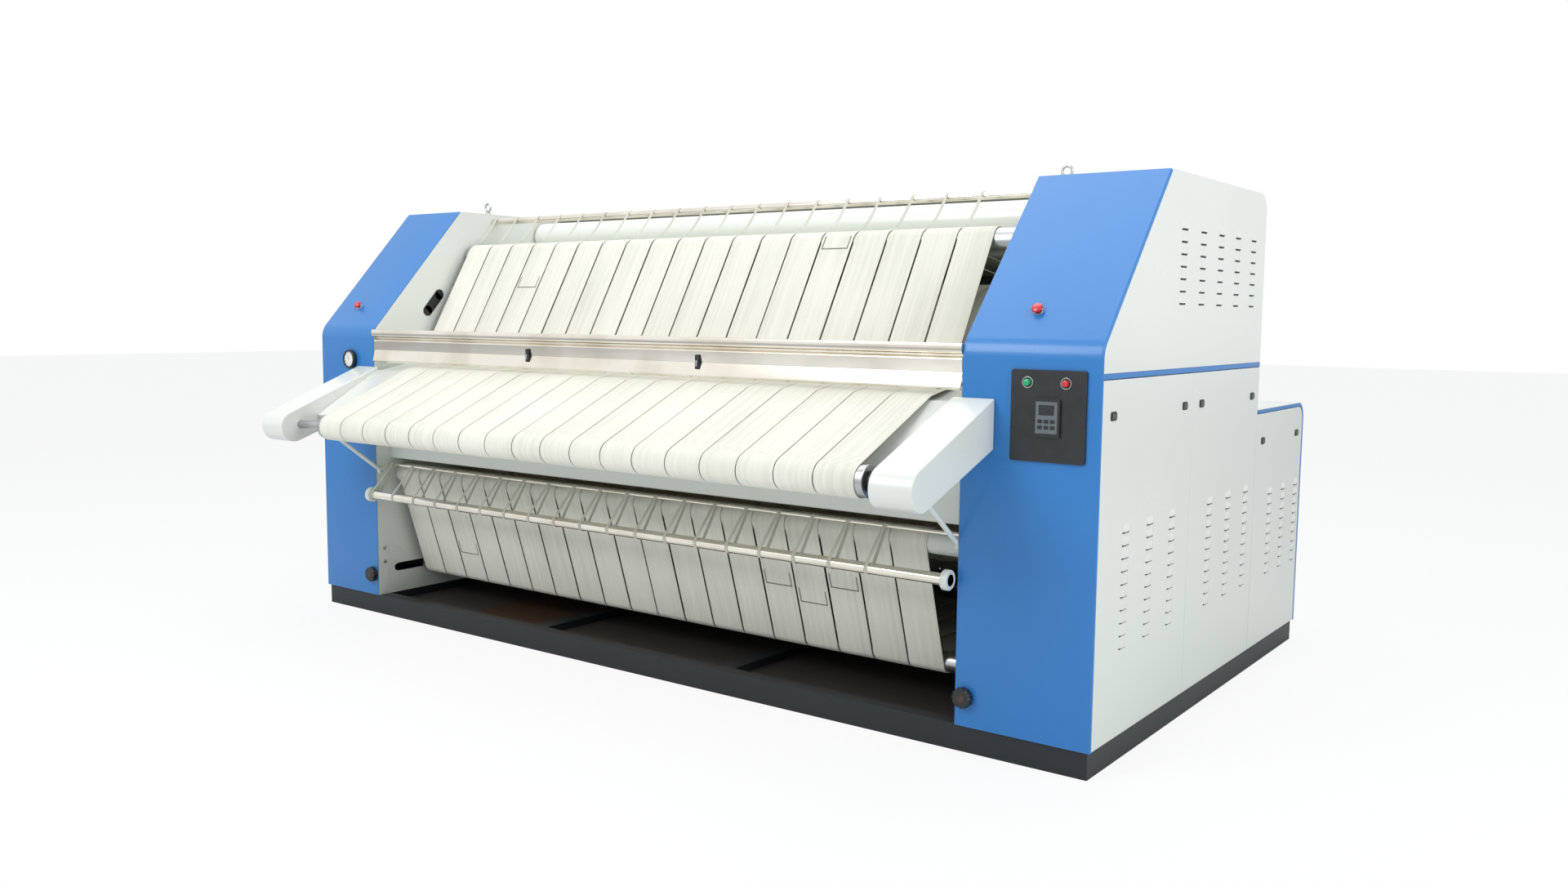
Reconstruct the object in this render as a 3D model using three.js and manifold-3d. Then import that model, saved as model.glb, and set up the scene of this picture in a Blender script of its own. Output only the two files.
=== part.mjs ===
// Flatwork ironer: one heated drum wrapped by nineteen ironing belts, fed and
// delivered at the front, between two sheet-metal cabinets on a black base.
// Millimetres. X runs along the rollers (drive side is +X), Y runs from the
// feeding side to the rear, Z is up and starts at the floor.
import * as THREE from 'three';
import { mergeVertices } from 'three/addons/utils/BufferGeometryUtils.js';
import Module from 'manifold-3d';

const wasm = await Module();
wasm.setup();

// ---------------------------------------------------------------- dimensions
// Whole machine
const overallLength = 4200;
const leftCabinetWidth = 430;
const rightCabinetWidth = 500;
const cabinetDepth = 1674;
const baseDepth = 2400;
const feedReach = 530;
const topHeight = 2030;
const kinkHeight = 1415;
const slantRun = 547;
const lowBoxHeight = 1133;
const plinthHeight = 95;
const plinthInset = 12;

// Sheet metal
const sheet = 3;
const gap = 0.3;
const kinkRadius = 100;
const rearCornerRadius = 80;
const flangeDepth = 12;
const waistTop = 1334;
const waistRailHeight = 18;
const doorDepth = 21;
const doorSeam = 3;
const doorSplit = 863;
const frameThickness = 18;
const framePost = 34;
const lowTrimWidth = 14;

// Louvres pressed into the doors and hoods
const louvreLength = 60;
const louvreHeight = 24;
const louvreLift = 6;
const louvrePitch = 44;

// Latches at the top corners of each door
const latchWidth = 34;
const latchHeight = 20;
const latchLift = 6;
const latchEdge = 90;
const latchDrop = 118;

// Inner side plates and base
const sidePlateThickness = 8;
const baseRail = 62;
const crossRail = 70;
const crossRailDrop = 5;
const panDepth = 42;
const spySlotHalfLength = 56;
const spySlotHalfWidth = 15;
const spySlotAboveInfeed = 194;
const takeUpTravel = 180;

// Heated drum
const drumRadius = 580;
const drumCentreY = 945;
const drumCentreZ = 1060;
const drumEndClearance = 28;
const drumHeadRecess = 34;
const trunnionRadius = 70;
const trunnionReach = 250;
const bearingFlangeMargin = 50;
const bearingFlangeThickness = 26;
const bearingFlangeCorner = 30;
const bearingBarrelWall = 34;
const bearingDepth = 80;

// Rollers: radius and centre of each
const infeedRadius = 52;
const infeedY = 366;
const infeedZ = 1364;
const topFrontRadius = 55;
const topFrontY = 620;
const topFrontZ = 1800;
const rearTopRadius = 60;
const rearTopY = 1560;
const rearTopZ = 1640;
const rearBottomRadius = 60;
const rearBottomY = 1560;
const rearBottomZ = 210;
const tensionRadius = 38;
const tensionY = 298;
const tensionZ = 222;
const deliveryRadius = 45;
const deliveryY = 155;
const deliveryZ = 700;
const guideRadius = 79;
const guideY = 1130;
const guideZ = 1925;
const journalRadius = 18;
const journalOverhang = 34;
const rollerEndClearance = 12;
const topCoverClearance = 30;
const bearingRadius = 42;
const bearingThickness = 16;
const rollerSides = 10;
const drumSides = 24;

// Ironing belts
const beltCount = 19;
const beltPitch = 160.5;
const beltGap = 9;
const beltThickness = 4;
const beltEdgeMargin = 42;
const runningGap = 0.8;
const rollerStep = 60;
const hiddenRollerStep = 60;
const drumStep = 12;
const rearRollerStep = 100;
const deliveryStep = 75;

// Feed conveyor
const feedBeltCount = 18;
const feedBeltMargin = 270;
const feedRollerRadius = 55;
const feedRollerY = -430;
const feedRollerZ = 985;
const feedRearRadius = 30;
const feedRearY = 296;
const feedRearZ = 1258;
const feedCrestZ = 1236;
const feedBeltThickness = 3;
const feedBedThickness = 12;
const feedBedFront = -350;
const feedBedRear = 240;

// Feed arms at both ends of the conveyor
const armWidth = 160;
const armOverBay = 35;
const armNoseRadius = 70;
const armNoseY = -460;
const armNoseZ = 975;
const armRearTop = 1240;
const armRearBottom = 1068;
const strutRadius = 9;
const strutTopY = -285;
const strutFootY = 22;
const strutFootZ = 722;
const strutEyeRadius = 16;
const strutPadHalf = 14;
const strutPadHeight = 5;

// Front rail, finger guard, delivery cover, tapes
const railTop = 1422;
const railHeight = 34;
const railFront = -10;
const railDepth = 40;
const guardHingeRadius = 7;
const guardHingeY = 16;
const guardThickness = 2.5;
const guardBottomZ = 1268;
const guardFoldZ = 1322;
const guardBulge = 14;
const guardBulgeDrop = 12;
const guardFoldDepth = 8;
const guardLip = 12;
const guardLipDrop = 5;
const guardEndClearance = 4;
const coverFoot = 784;
const coverBreak = 884;
const coverTop = 1070;
const coverFootY = 88;
const coverTopY = 60;
const coverThickness = 2.5;
const coverTopLip = 30;
const coverFootLip = 16;
const coverLipFall = 12;
const tapeWidth = 14;
const tapeThickness = 2;
const tapeRodRadius = 16;
const tapeRodY = 770;
const tapeRodZ = 1992;
const tapeToBelt = 6;
const tapeReachBack = 20;
const tubeRadius = 21;
const tubeY = -35;
const tubeZ = 610;
const tubeFlangeRadius = 36;
const tubeFlangeThickness = 26;
const tubeEndLeft = 3;
const tubeEndRight = 8;
const slitRodRadius = 7;
const slitRodY = 76;
const slitRodZ = 750;
const tubeSides = 8;
const tubeWrapStep = 90;
const slitWrapStep = 120;
const slitRodSides = 6;
const tapeGrip = 1.2;

// Controls
const controlPanelX = 1920;
const controlPanelZ = 1191;
const controlPanelWidth = 265;
const controlPanelHeight = 302;
const controlPanelThickness = 8;
const keypadWidth = 93;
const keypadHeight = 125;
const keypadLift = 9;
const keypadDrop = 6;
const keypadFrame = 14;
const keypadWindowDepth = 2;
const buttonRadius = 11;
const buttonBezelRadius = 14.5;
const buttonBezelLift = 4;
const buttonLength = 18;
const buttonCrown = 3;
const buttonPocket = 6;
const buttonTravel = 3;
const buttonSides = 12;
const startButtonX = -73;
const stopButtonX = 62;
const buttonRowZ = 109;
const mushroomRadius = 20;
const mushroomHeight = 13;
const mushroomStem = 8;
const mushroomNeck = 12;
const mushroomFromBayLeft = 254;
const mushroomFromBayRight = 224;
const mushroomAlongSlant = 157;
const gaugeRadius = 46;
const gaugeDepth = 22;
const gaugeX = -1849;
const gaugeZ = 1272;
const knobRadius = 37;
const knobThickness = 30;
const knobShaftRadius = 8;
const knobFromBay = 36;
const knobZ = 200;
const knobBlockDepth = 60;
const knobNutDistance = 30;
const knobNutHalf = 20;
const knobFlutes = 8;
const knobFluteDepth = 4;
const stemClearance = 0.3;
const screwClearance = 1.5;
const eyeRingRadius = 20;
const eyeWireRadius = 5.5;
const eyeCollarHeight = 12;
const eyeCollarRadius = 14;
const eyeFromBay = 20;
const eyeY = 750;

// Drive inside the right cabinet
const drumSprocketRadius = 300;
const drumSprocketTeeth = 24;
const motorSprocketTeeth = 8;
const sprocketThickness = 14;
const toothHeight = 9;
const sprocketFromPlate = 170;
const motorShaftY = 1890;
const motorShaftZ = 520;
const chainThickness = 10;
const chainWidth = 18;
const chainClearance = 0.4;
const gearboxSize = 190;
const gearboxFromPlate = 12;
const gearboxToSprocket = 26;
const gearboxFootHeight = 16;
const gearboxFootMargin = 20;
const gearboxColumnInset = 10;
const motorBodyRadius = 95;
const motorBodyLength = 300;
const motorShaftRadius = 20;
const motorShaftEnd = 4;
const hubWall = 14;
const drumHubWall = 30;
const hubLength = 16;
const steamPipeRadius = 24;
const steamPipeFlange = 12;
const steamPipeFlangeHeight = 14;
const steamBodyLength = 70;
const steamPipeFromEnd = 40;
const steamBodyStep = 12;

// ------------------------------------------------------------ derived places
const leftFace = -overallLength / 2;
const rightFace = overallLength / 2;
const bayLeft = leftFace + leftCabinetWidth;
const bayRight = rightFace - rightCabinetWidth;
const rollerLeft = bayLeft + rollerEndClearance;
const rollerRight = bayRight - rollerEndClearance;
const beltWidth = beltPitch - beltGap;
const beltsLeft = bayLeft + beltEdgeMargin;
const feedBeltsLeft = bayLeft + feedBeltMargin;
const panelInset = sheet + gap;
const floorSeat = plinthHeight + gap;
const slantAngle = Math.atan2(topHeight - kinkHeight, slantRun);

// ----------------------------------------------------------------- materials
function paint(colour, roughness, metalness) {
  return new THREE.MeshStandardMaterial({ color: colour, roughness, metalness });
}

const bluePaint = paint(0x2f7fd0, 0.4, 0);
const whitePaint = paint(0xdde2dd, 0.4, 0);
const blackPaint = paint(0x0e1214, 0.5, 0);
const panPaint = paint(0x23292d, 0.6, 0.2);
const beltCloth = paint(0xe6e8dc, 0.95, 0);
const polishedSteel = paint(0xc9c8bd, 0.2, 1);
const machinedSteel = paint(0xa9adad, 0.35, 1);
const castIron = paint(0x3b4145, 0.7, 0.6);
const blackPlastic = paint(0x15181a, 0.5, 0);
const greenPlastic = paint(0x1db574, 0.35, 0);
const redPlastic = paint(0xd8323f, 0.35, 0);
const gaugeWhite = paint(0xeef0ee, 0.4, 0);

// ----------------------------------------------------------- plane geometry
function point(y, z) {
  return new THREE.Vector2(y, z);
}

// Points of an arc about (y, z); angles in degrees, counter-clockwise when to > from.
function arc(y, z, radius, from, to, steps) {
  const points = [];
  for (let i = 0; i <= steps; i += 1) {
    const angle = THREE.MathUtils.degToRad(from + ((to - from) * i) / steps);
    points.push(point(y + radius * Math.cos(angle), z + radius * Math.sin(angle)));
  }
  return points;
}

function crossing(a, directionA, b, directionB) {
  const denominator = directionA.cross(directionB);
  const t = b.clone().sub(a).cross(directionB) / denominator;
  return a.clone().addScaledVector(directionA, t);
}

// Moves a polyline sideways (positive = to the right of travel) with mitred corners.
function offsetLine(points, distance, closed = false) {
  const count = points.length;
  const lastEdge = closed ? count : count - 1;
  const edges = [];
  for (let i = 0; i < lastEdge; i += 1) {
    const start = points[i];
    const direction = points[(i + 1) % count].clone().sub(start).normalize();
    const right = point(direction.y, -direction.x);
    edges.push({ start: start.clone().addScaledVector(right, distance), direction, right });
  }
  return points.map((vertex, i) => {
    const before = edges[closed ? (i + count - 1) % count : Math.max(i - 1, 0)];
    const after = edges[closed ? i : Math.min(i, lastEdge - 1)];
    if (Math.abs(before.direction.cross(after.direction)) < 1e-6) {
      return vertex.clone().addScaledVector(after.right, distance);
    }
    return crossing(before.start, before.direction, after.start, after.direction);
  });
}

// Rounds the corners of a polyline: radii[i] belongs to points[i], 0 keeps it sharp.
function roundCorners(points, radii, steps = 4) {
  const result = [];
  points.forEach((vertex, i) => {
    const radius = radii[i];
    if (radius < 1) {
      result.push(vertex.clone());
      return;
    }
    const before = points[(i + points.length - 1) % points.length].clone().sub(vertex).normalize();
    const after = points[(i + 1) % points.length].clone().sub(vertex).normalize();
    const halfAngle = Math.acos(THREE.MathUtils.clamp(before.dot(after), -1, 1)) / 2;
    const middle = before.clone().add(after).normalize();
    const centre = vertex.clone().addScaledVector(middle, radius / Math.sin(halfAngle));
    const from = vertex.clone().addScaledVector(before, radius / Math.tan(halfAngle)).sub(centre);
    const to = vertex.clone().addScaledVector(after, radius / Math.tan(halfAngle)).sub(centre);
    const turn = Math.atan2(from.cross(to), from.dot(to));
    for (let k = 0; k <= steps; k += 1) {
      const swept = from.clone().rotateAround(point(0, 0), (turn * k) / steps);
      result.push(centre.clone().add(swept));
    }
  });
  return result;
}

// Closed outline of a bent sheet whose outer face follows the polyline.
function bentSheet(points, thickness) {
  return [...points, ...offsetLine(points, thickness).reverse()];
}

// --------------------------------------------------------- solids and joins
const axesAlongX = new THREE.Matrix4().set(0, 0, 1, 0, 1, 0, 0, 0, 0, 1, 0, 0, 0, 0, 0, 1);

// A (y, z) outline carried along X from x = from to x = to.
function alongX(outline, from, to, holes = []) {
  const options = { depth: to - from, steps: 1, bevelEnabled: false };
  const geometry = new THREE.ExtrudeGeometry(new THREE.Shape(outline), options);
  geometry.applyMatrix4(axesAlongX).translate(from, 0, 0);
  return holes.length ? pierce(geometry, holes.map((hole) => alongX(hole, from - 1, to + 1))) : geometry;
}

// An (x, y) outline carried upwards from z = from to z = to.
function alongZ(outline, from, to, holes = []) {
  const options = { depth: to - from, steps: 1, bevelEnabled: false };
  const geometry = new THREE.ExtrudeGeometry(new THREE.Shape(outline), options);
  geometry.translate(0, 0, from);
  return holes.length ? pierce(geometry, holes.map((hole) => alongZ(hole, from - 1, to + 1))) : geometry;
}

function block(x0, x1, y0, y1, z0, z1) {
  const geometry = new THREE.BoxGeometry(x1 - x0, y1 - y0, z1 - z0);
  return geometry.translate((x0 + x1) / 2, (y0 + y1) / 2, (z0 + z1) / 2);
}

function rectangle(y0, y1, z0, z1) {
  return [point(y0, z0), point(y1, z0), point(y1, z1), point(y0, z1)];
}

function circle(y, z, radius, sides) {
  return arc(y, z, radius, 0, 360, sides).slice(0, -1);
}

// A round bar along Y.
function disc(radius, y0, y1, x, z, sides) {
  const geometry = new THREE.CylinderGeometry(radius, radius, y1 - y0, sides);
  return geometry.translate(x, (y0 + y1) / 2, z);
}

// A turned piece about the X axis: profile holds [x, radius] pairs from end to end.
function turnedAlongX(profile, sides) {
  const points = profile.map(([x, radius]) => point(radius, x));
  return new THREE.LatheGeometry(points, sides).rotateZ(-Math.PI / 2);
}

function toSolid(geometry) {
  const bare = geometry.index ? geometry.toNonIndexed() : geometry.clone();
  bare.deleteAttribute('normal');
  bare.deleteAttribute('uv');
  const merged = mergeVertices(bare, 1e-3);
  const index = Array.from(merged.index.array);
  const kept = [];
  for (let i = 0; i < index.length; i += 3) {
    const [a, b, c] = index.slice(i, i + 3);
    if (a !== b && b !== c && c !== a) {
      kept.push(a, b, c);
    }
  }
  const vertProperties = new Float32Array(merged.attributes.position.array);
  const mesh = new wasm.Mesh({ numProp: 3, vertProperties, triVerts: new Uint32Array(kept) });
  return new wasm.Manifold(mesh);
}

function toGeometry(solid) {
  const mesh = solid.getMesh();
  const geometry = new THREE.BufferGeometry();
  geometry.setAttribute('position', new THREE.BufferAttribute(mesh.vertProperties, 3));
  geometry.setIndex(new THREE.BufferAttribute(mesh.triVerts, 1));
  return geometry;
}

function join(first, ...others) {
  return others.reduce((solid, other) => solid.add(toSolid(other)), toSolid(first));
}

function cut(solid, ...tools) {
  return tools.reduce((rest, tool) => rest.subtract(toSolid(tool)), solid);
}

function pierce(geometry, tools) {
  return toGeometry(cut(toSolid(geometry), ...tools));
}

// --------------------------------------------------------- cabinet profile
// Front edge of a cabinet seen from its side, moved inwards by `inset`.
function frontLine(inset, bottom) {
  const corners = [point(0, bottom), point(0, kinkHeight), point(slantRun, topHeight)];
  const moved = offsetLine(corners, inset);
  moved[0].y = bottom;
  const up = point(Math.cos(slantAngle), Math.sin(slantAngle));
  moved[2] = crossing(moved[1], up, point(0, topHeight), point(1, 0));
  return roundCorners(moved, [0, kinkRadius - inset, 0], 4);
}

// Top and rear of the high part, from the front edge of the top to the low box.
function rearLine(inset, frontY, bottom) {
  const rear = cabinetDepth - inset;
  const roof = topHeight - inset;
  const corners = [point(frontY, roof), point(rear, roof), point(rear, bottom)];
  return roundCorners(corners, [0, rearCornerRadius - inset, 0], 4);
}

// Top and rear of the low box behind the high part.
function lowBoxLine(inset, frontY, bottom) {
  const rear = baseDepth - inset;
  const roof = lowBoxHeight - inset;
  const corners = [point(frontY, roof), point(rear, roof), point(rear, bottom)];
  return roundCorners(corners, [0, rearCornerRadius - inset, 0], 4);
}

// Full side view of a cabinet, inset inside its sheet metal.
function sideOutline(inset, bottom) {
  const front = frontLine(inset, bottom);
  const frontTop = front.pop();
  const reach = (topHeight - inset - front.at(-1).y) / Math.sin(slantAngle);
  const slantTop = point(
    front.at(-1).x + reach * Math.cos(slantAngle),
    topHeight - inset,
  );
  const high = rearLine(inset, frontTop.x, lowBoxHeight - inset).slice(1);
  const low = lowBoxLine(inset, cabinetDepth - inset, bottom).slice(1);
  return [...front, slantTop, ...high, ...low];
}

// --------------------------------------------------------------- assembling
const flatworkIroner = new THREE.Group();
flatworkIroner.position.set(0, -(baseDepth - feedReach) / 2, 0);

function place(name, geometry, material, x = 0, y = 0, z = 0) {
  const mesh = new THREE.Mesh(geometry, material);
  mesh.name = name;
  mesh.position.set(x, y, z);
  flatworkIroner.add(mesh);
  return mesh;
}

// ---------------------------------------------------------------- base frame
function baseWindows() {
  const front = plinthInset + baseRail;
  const rear = baseDepth - plinthInset - baseRail;
  const middle = (front + rear) / 2;
  const windows = [];
  for (const [x0, x1] of [
    [leftFace + plinthInset + baseRail, bayLeft - crossRail],
    [bayRight + crossRail, rightFace - plinthInset - baseRail],
  ]) {
    windows.push([x0, x1, front, middle - crossRail / 2]);
    windows.push([x0, x1, middle + crossRail / 2, rear]);
  }
  return windows;
}

function floorBay() {
  const front = plinthInset + baseRail;
  const rear = baseDepth - plinthInset - baseRail;
  return { x0: bayLeft, x1: bayRight, y0: front, y1: rear };
}

function baseFrame() {
  const x0 = leftFace + plinthInset;
  const x1 = rightFace - plinthInset;
  const outline = rectangle(x0, x1, plinthInset, baseDepth - plinthInset);
  const bay = floorBay();
  const holes = baseWindows().map((window) => rectangle(...window));
  holes.push(rectangle(bay.x0, bay.x1, bay.y0, bay.y1));
  const ring = alongZ(outline, 0, plinthHeight, holes);
  const bars = [];
  for (const share of [1, 2]) {
    const centre = bay.x0 + ((bay.x1 - bay.x0) * share) / 3;
    const left = centre - crossRail / 2;
    const bottom = plinthHeight - panDepth + sheet + gap;
    bars.push(block(left, left + crossRail, bay.y0 - 1, bay.y1 + 1, bottom, plinthHeight - crossRailDrop));
  }
  return toGeometry(join(ring, ...bars));
}

function floorPan() {
  const bay = floorBay();
  const outline = rectangle(bay.x0 + gap, bay.x1 - gap, bay.y0 + gap, bay.y1 - gap);
  const bottom = plinthHeight - panDepth;
  return alongZ(outline, bottom, bottom + sheet);
}

place('base_frame', baseFrame(), blackPaint);
place('floor_pan', floorPan(), panPaint);

// --------------------------------------------------------------- side plates
const rollerCentres = [
  [infeedY, infeedZ],
  [topFrontY, topFrontZ],
  [rearTopY, rearTopZ],
  [rearBottomY, rearBottomZ],
  [deliveryY, deliveryZ],
  [guideY, guideZ],
  [feedRearY, feedRearZ],
];

const slotHalfHeight = journalRadius + 3;
const slotFront = tensionY - takeUpTravel;

function tensionSlot() {
  const front = arc(slotFront, tensionZ, slotHalfHeight, 90, 270, 3);
  const rear = arc(tensionY, tensionZ, slotHalfHeight, -90, 90, 3);
  return [...front, ...rear];
}

// Long slot above the infeed roller, in line with the slanted front.
function spySlot() {
  const middleZ = infeedZ + spySlotAboveInfeed;
  const run = spySlotHalfLength * Math.cos(slantAngle);
  const rise = spySlotHalfLength * Math.sin(slantAngle);
  const angle = THREE.MathUtils.radToDeg(slantAngle);
  const low = arc(infeedY - run, middleZ - rise, spySlotHalfWidth, angle + 90, angle + 270, 3);
  const high = arc(infeedY + run, middleZ + rise, spySlotHalfWidth, angle - 90, angle + 90, 3);
  return [...low, ...high];
}

function shaftHole(y, z, radius, sides = 6) {
  return circle(y, z, (radius + gap) / Math.cos(Math.PI / sides) + gap, sides);
}

// side is -1 for the left plate and +1 for the right one. Bearing housings are
// bolted outside the plate; the nut block takes the screw of the tension knob.
function sidePlate(side) {
  const inner = side < 0 ? bayLeft : bayRight;
  const outer = inner + side * sidePlateThickness;
  const span = (a, b) => [Math.min(a, b), Math.max(a, b)];
  const wall = alongX(sideOutline(panelInset, floorSeat), ...span(inner, outer));
  const housings = rollerCentres.map(([y, z]) => alongX(
    circle(y, z, bearingRadius, 6),
    ...span(outer, outer + side * bearingThickness),
  ));
  const blockY = panelInset + knobNutDistance;
  const blockX = inner + side * knobFromBay;
  const blockSpan = span(outer, blockX + side * knobNutHalf);
  const blockEnd = blockY + knobBlockDepth;
  const nutBlock = block(...blockSpan, blockY, blockEnd, knobZ - knobNutHalf, knobZ + knobNutHalf);
  const screwBore = disc(knobShaftRadius + 1, blockY - 1, blockEnd + 1, blockX, knobZ, 8);
  const through = [inner - 60, outer + 60];
  const holes = [
    ...rollerCentres.map(([y, z]) => shaftHole(y, z, journalRadius)),
    shaftHole(drumCentreY, drumCentreZ, trunnionRadius, 16),
    tensionSlot(),
    spySlot(),
  ].map((hole) => alongX(hole, ...through));
  return toGeometry(cut(join(wall, ...housings, nutBlock), ...holes, screwBore));
}

place('side_plate_left', sidePlate(-1), whitePaint);
place('side_plate_right', sidePlate(1), whitePaint);

// ------------------------------------------------------- front blue panels
const slantNormal = new THREE.Vector3(0, -Math.sin(slantAngle), Math.cos(slantAngle));

function mushroomSeat(side) {
  const along = mushroomAlongSlant;
  const x = side < 0 ? bayLeft - mushroomFromBayLeft : bayRight + mushroomFromBayRight;
  return new THREE.Vector3(x, along * Math.cos(slantAngle), kinkHeight + along * Math.sin(slantAngle));
}

function knobPlace(side) {
  const x = (side < 0 ? bayLeft : bayRight) + side * knobFromBay;
  return new THREE.Vector3(x, 0, knobZ);
}

function frontPanel(side) {
  const outer = side < 0 ? leftFace : rightFace;
  const inner = side < 0 ? bayLeft : bayRight;
  const face = alongX(
    bentSheet(frontLine(0, floorSeat), sheet),
    Math.min(outer, inner),
    Math.max(outer, inner),
  );
  const edge = outer - side * sheet;
  const lip = alongX(
    bentSheet(frontLine(0, floorSeat), flangeDepth),
    Math.min(outer, edge),
    Math.max(outer, edge),
  );
  const stemHole = disc(mushroomStem + stemClearance, -mushroomNeck, mushroomNeck, 0, 0, 12);
  stemHole.rotateX(slantAngle + Math.PI / 2).translate(...mushroomSeat(side).toArray());
  const knobHole = disc(knobShaftRadius + screwClearance, -flangeDepth, flangeDepth, 0, 0, 12);
  knobHole.translate(...knobPlace(side).toArray());
  return toGeometry(cut(join(face, lip), stemHole, knobHole));
}

place('front_panel_left', frontPanel(-1), bluePaint);
place('front_panel_right', frontPanel(1), bluePaint);

// ---------------------------------------------- frames behind the doors
const doorBottom = floorSeat + 2;
const waistBottom = waistTop - waistRailHeight;
const doorTop = waistBottom - doorSeam;
const doors = [
  {
    name: 'door_front',
    y0: flangeDepth + gap,
    y1: doorSplit - doorSeam / 2,
    z1: doorTop,
    corner: 0,
    louvres: { y: 465, pitch: 221, columns: 3, top: 800, rows: 10 },
  },
  {
    name: 'door_rear',
    y0: doorSplit + doorSeam / 2,
    y1: cabinetDepth - panelInset,
    z1: doorTop,
    corner: 0,
    louvres: { y: 1325, pitch: 228, columns: 3, top: 800, rows: 10 },
  },
  {
    name: 'door_low',
    y0: cabinetDepth + doorSeam / 2,
    y1: baseDepth - panelInset - lowTrimWidth - doorSeam,
    z1: lowBoxHeight - panelInset - lowTrimWidth - doorSeam,
    corner: rearCornerRadius - panelInset - lowTrimWidth,
    louvres: { y: 2110, pitch: 202, columns: 3, top: 754, rows: 9 },
  },
];

function doorWindow(door) {
  const inset = framePost;
  const low = Math.max(doorBottom + inset, plinthHeight + inset);
  return rectangle(door.y0 + inset, door.y1 - inset, low, door.z1 - inset);
}

function cabinetFrame(side) {
  const outer = side < 0 ? leftFace : rightFace;
  const front = outer - side * (doorDepth + gap);
  const back = front - side * frameThickness;
  const lower = [
    point(panelInset, floorSeat),
    point(panelInset, waistTop),
    point(cabinetDepth - panelInset, waistTop),
    point(cabinetDepth - panelInset, lowBoxHeight - panelInset),
    ...lowBoxLine(panelInset, cabinetDepth, floorSeat).slice(1),
  ];
  const plate = alongX(lower, Math.min(front, back), Math.max(front, back), doors.map(doorWindow));
  const inside = front - side;
  const lipX = [Math.min(inside, outer), Math.max(inside, outer)];
  const waistLip = block(...lipX, flangeDepth + gap, cabinetDepth - panelInset, waistBottom, waistTop);
  const trimLine = lowBoxLine(panelInset, cabinetDepth + doorSeam, floorSeat);
  const trim = alongX(bentSheet(trimLine, lowTrimWidth), ...lipX);
  return toGeometry(join(plate, waistLip, trim));
}

place('cabinet_frame_left', cabinetFrame(-1), bluePaint);
place('cabinet_frame_right', cabinetFrame(1), bluePaint);

// -------------------------------------------------------------- louvres
// One pressed louvre: a wedge that stands off the outer face, open edge down.
function louvre(face, side, y, z) {
  const lift = face + side * louvreLift;
  const root = face - side * 0.5;
  const y0 = y - louvreLength / 2;
  const y1 = y + louvreLength / 2;
  const taper = louvreHeight * 0.45;
  const geometry = new THREE.BufferGeometry();
  const corners = [
    [root, y0, z], [root, y1, z], [root, y1, z + louvreHeight], [root, y0, z + louvreHeight],
    [lift, y0 + taper, z], [lift, y1 - taper, z],
  ];
  const faces = [[0, 3, 2], [0, 2, 1], [0, 1, 5], [0, 5, 4], [4, 5, 2], [4, 2, 3], [0, 4, 3], [1, 2, 5]];
  const vertices = new Float32Array(corners.flat());
  const order = side > 0 ? faces.flat() : faces.map(([a, b, c]) => [a, c, b]).flat();
  geometry.setAttribute('position', new THREE.BufferAttribute(vertices, 3));
  geometry.setIndex(order);
  return geometry;
}

function louvreField(face, side, field) {
  const all = [];
  for (let column = 0; column < field.columns; column += 1) {
    const y = field.y + (column - (field.columns - 1) / 2) * field.pitch;
    for (let row = 0; row < field.rows; row += 1) {
      all.push(louvre(face, side, y, field.top - row * louvrePitch));
    }
  }
  return all;
}

// ---------------------------------------------------------------- doors
function doorPan(door, side) {
  const outer = side < 0 ? leftFace : rightFace;
  const back = outer - side * doorDepth;
  const corners = rectangle(door.y0, door.y1, doorBottom, door.z1);
  const outline = roundCorners(corners, [0, 0, door.corner, 0], 4);
  const hollow = offsetLine(outline, -sheet, true);
  const skin = outer - side * sheet;
  const shell = alongX(outline, Math.min(outer, back), Math.max(outer, back));
  const inside = alongX(hollow, Math.min(skin, back - side), Math.max(skin, back - side));
  const latches = [door.y0 + latchEdge, door.y1 - latchEdge].map((y) => {
    const lift = outer + side * latchLift;
    const start = outer - side;
    const z = door.z1 - latchDrop;
    const face = rectangle(y - latchWidth / 2, y + latchWidth / 2, z - latchHeight / 2, z + latchHeight / 2);
    return alongX(face, Math.min(start, lift), Math.max(start, lift));
  });
  const pan = cut(toSolid(shell), inside);
  return [...latches, ...louvreField(outer, side, door.louvres)].reduce(
    (solid, piece) => solid.add(toSolid(piece)),
    pan,
  );
}

for (const side of [-1, 1]) {
  const end = side < 0 ? 'left' : 'right';
  for (const door of doors) {
    place(`${door.name}_${end}`, toGeometry(doorPan(door, side)), whitePaint);
  }
}

// ---------------------------------------------------------------- hoods
const hoodLouvres = { y: 1107, pitch: 203, columns: 5, top: 1832, rows: 7 };

function hood(side) {
  const outer = side < 0 ? leftFace : rightFace;
  const inner = side < 0 ? bayLeft : bayRight;
  const lineTop = frontLine(sheet + gap, waistTop).at(-1).x;
  const roofLine = rearLine(0, lineTop, lowBoxHeight + gap);
  const roof = alongX(bentSheet(roofLine, sheet), Math.min(outer, inner), Math.max(outer, inner));
  const cheekFront = frontLine(flangeDepth + gap, waistTop + gap);
  const cheek = [...cheekFront, ...rearLine(0, cheekFront.at(-1).x, waistTop + gap).slice(1)];
  const skin = outer - side * sheet;
  const wall = alongX(cheek, Math.min(outer, skin), Math.max(outer, skin));
  return toGeometry(join(roof, wall, ...louvreField(outer, side, hoodLouvres)));
}

place('hood_left', hood(-1), whitePaint);
place('hood_right', hood(1), whitePaint);

// ------------------------------------------------------ low box and rear covers
function lowBoxSheet(from, to) {
  const line = lowBoxLine(0, cabinetDepth, floorSeat);
  return alongX(bentSheet(line, sheet), from, to);
}

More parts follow.
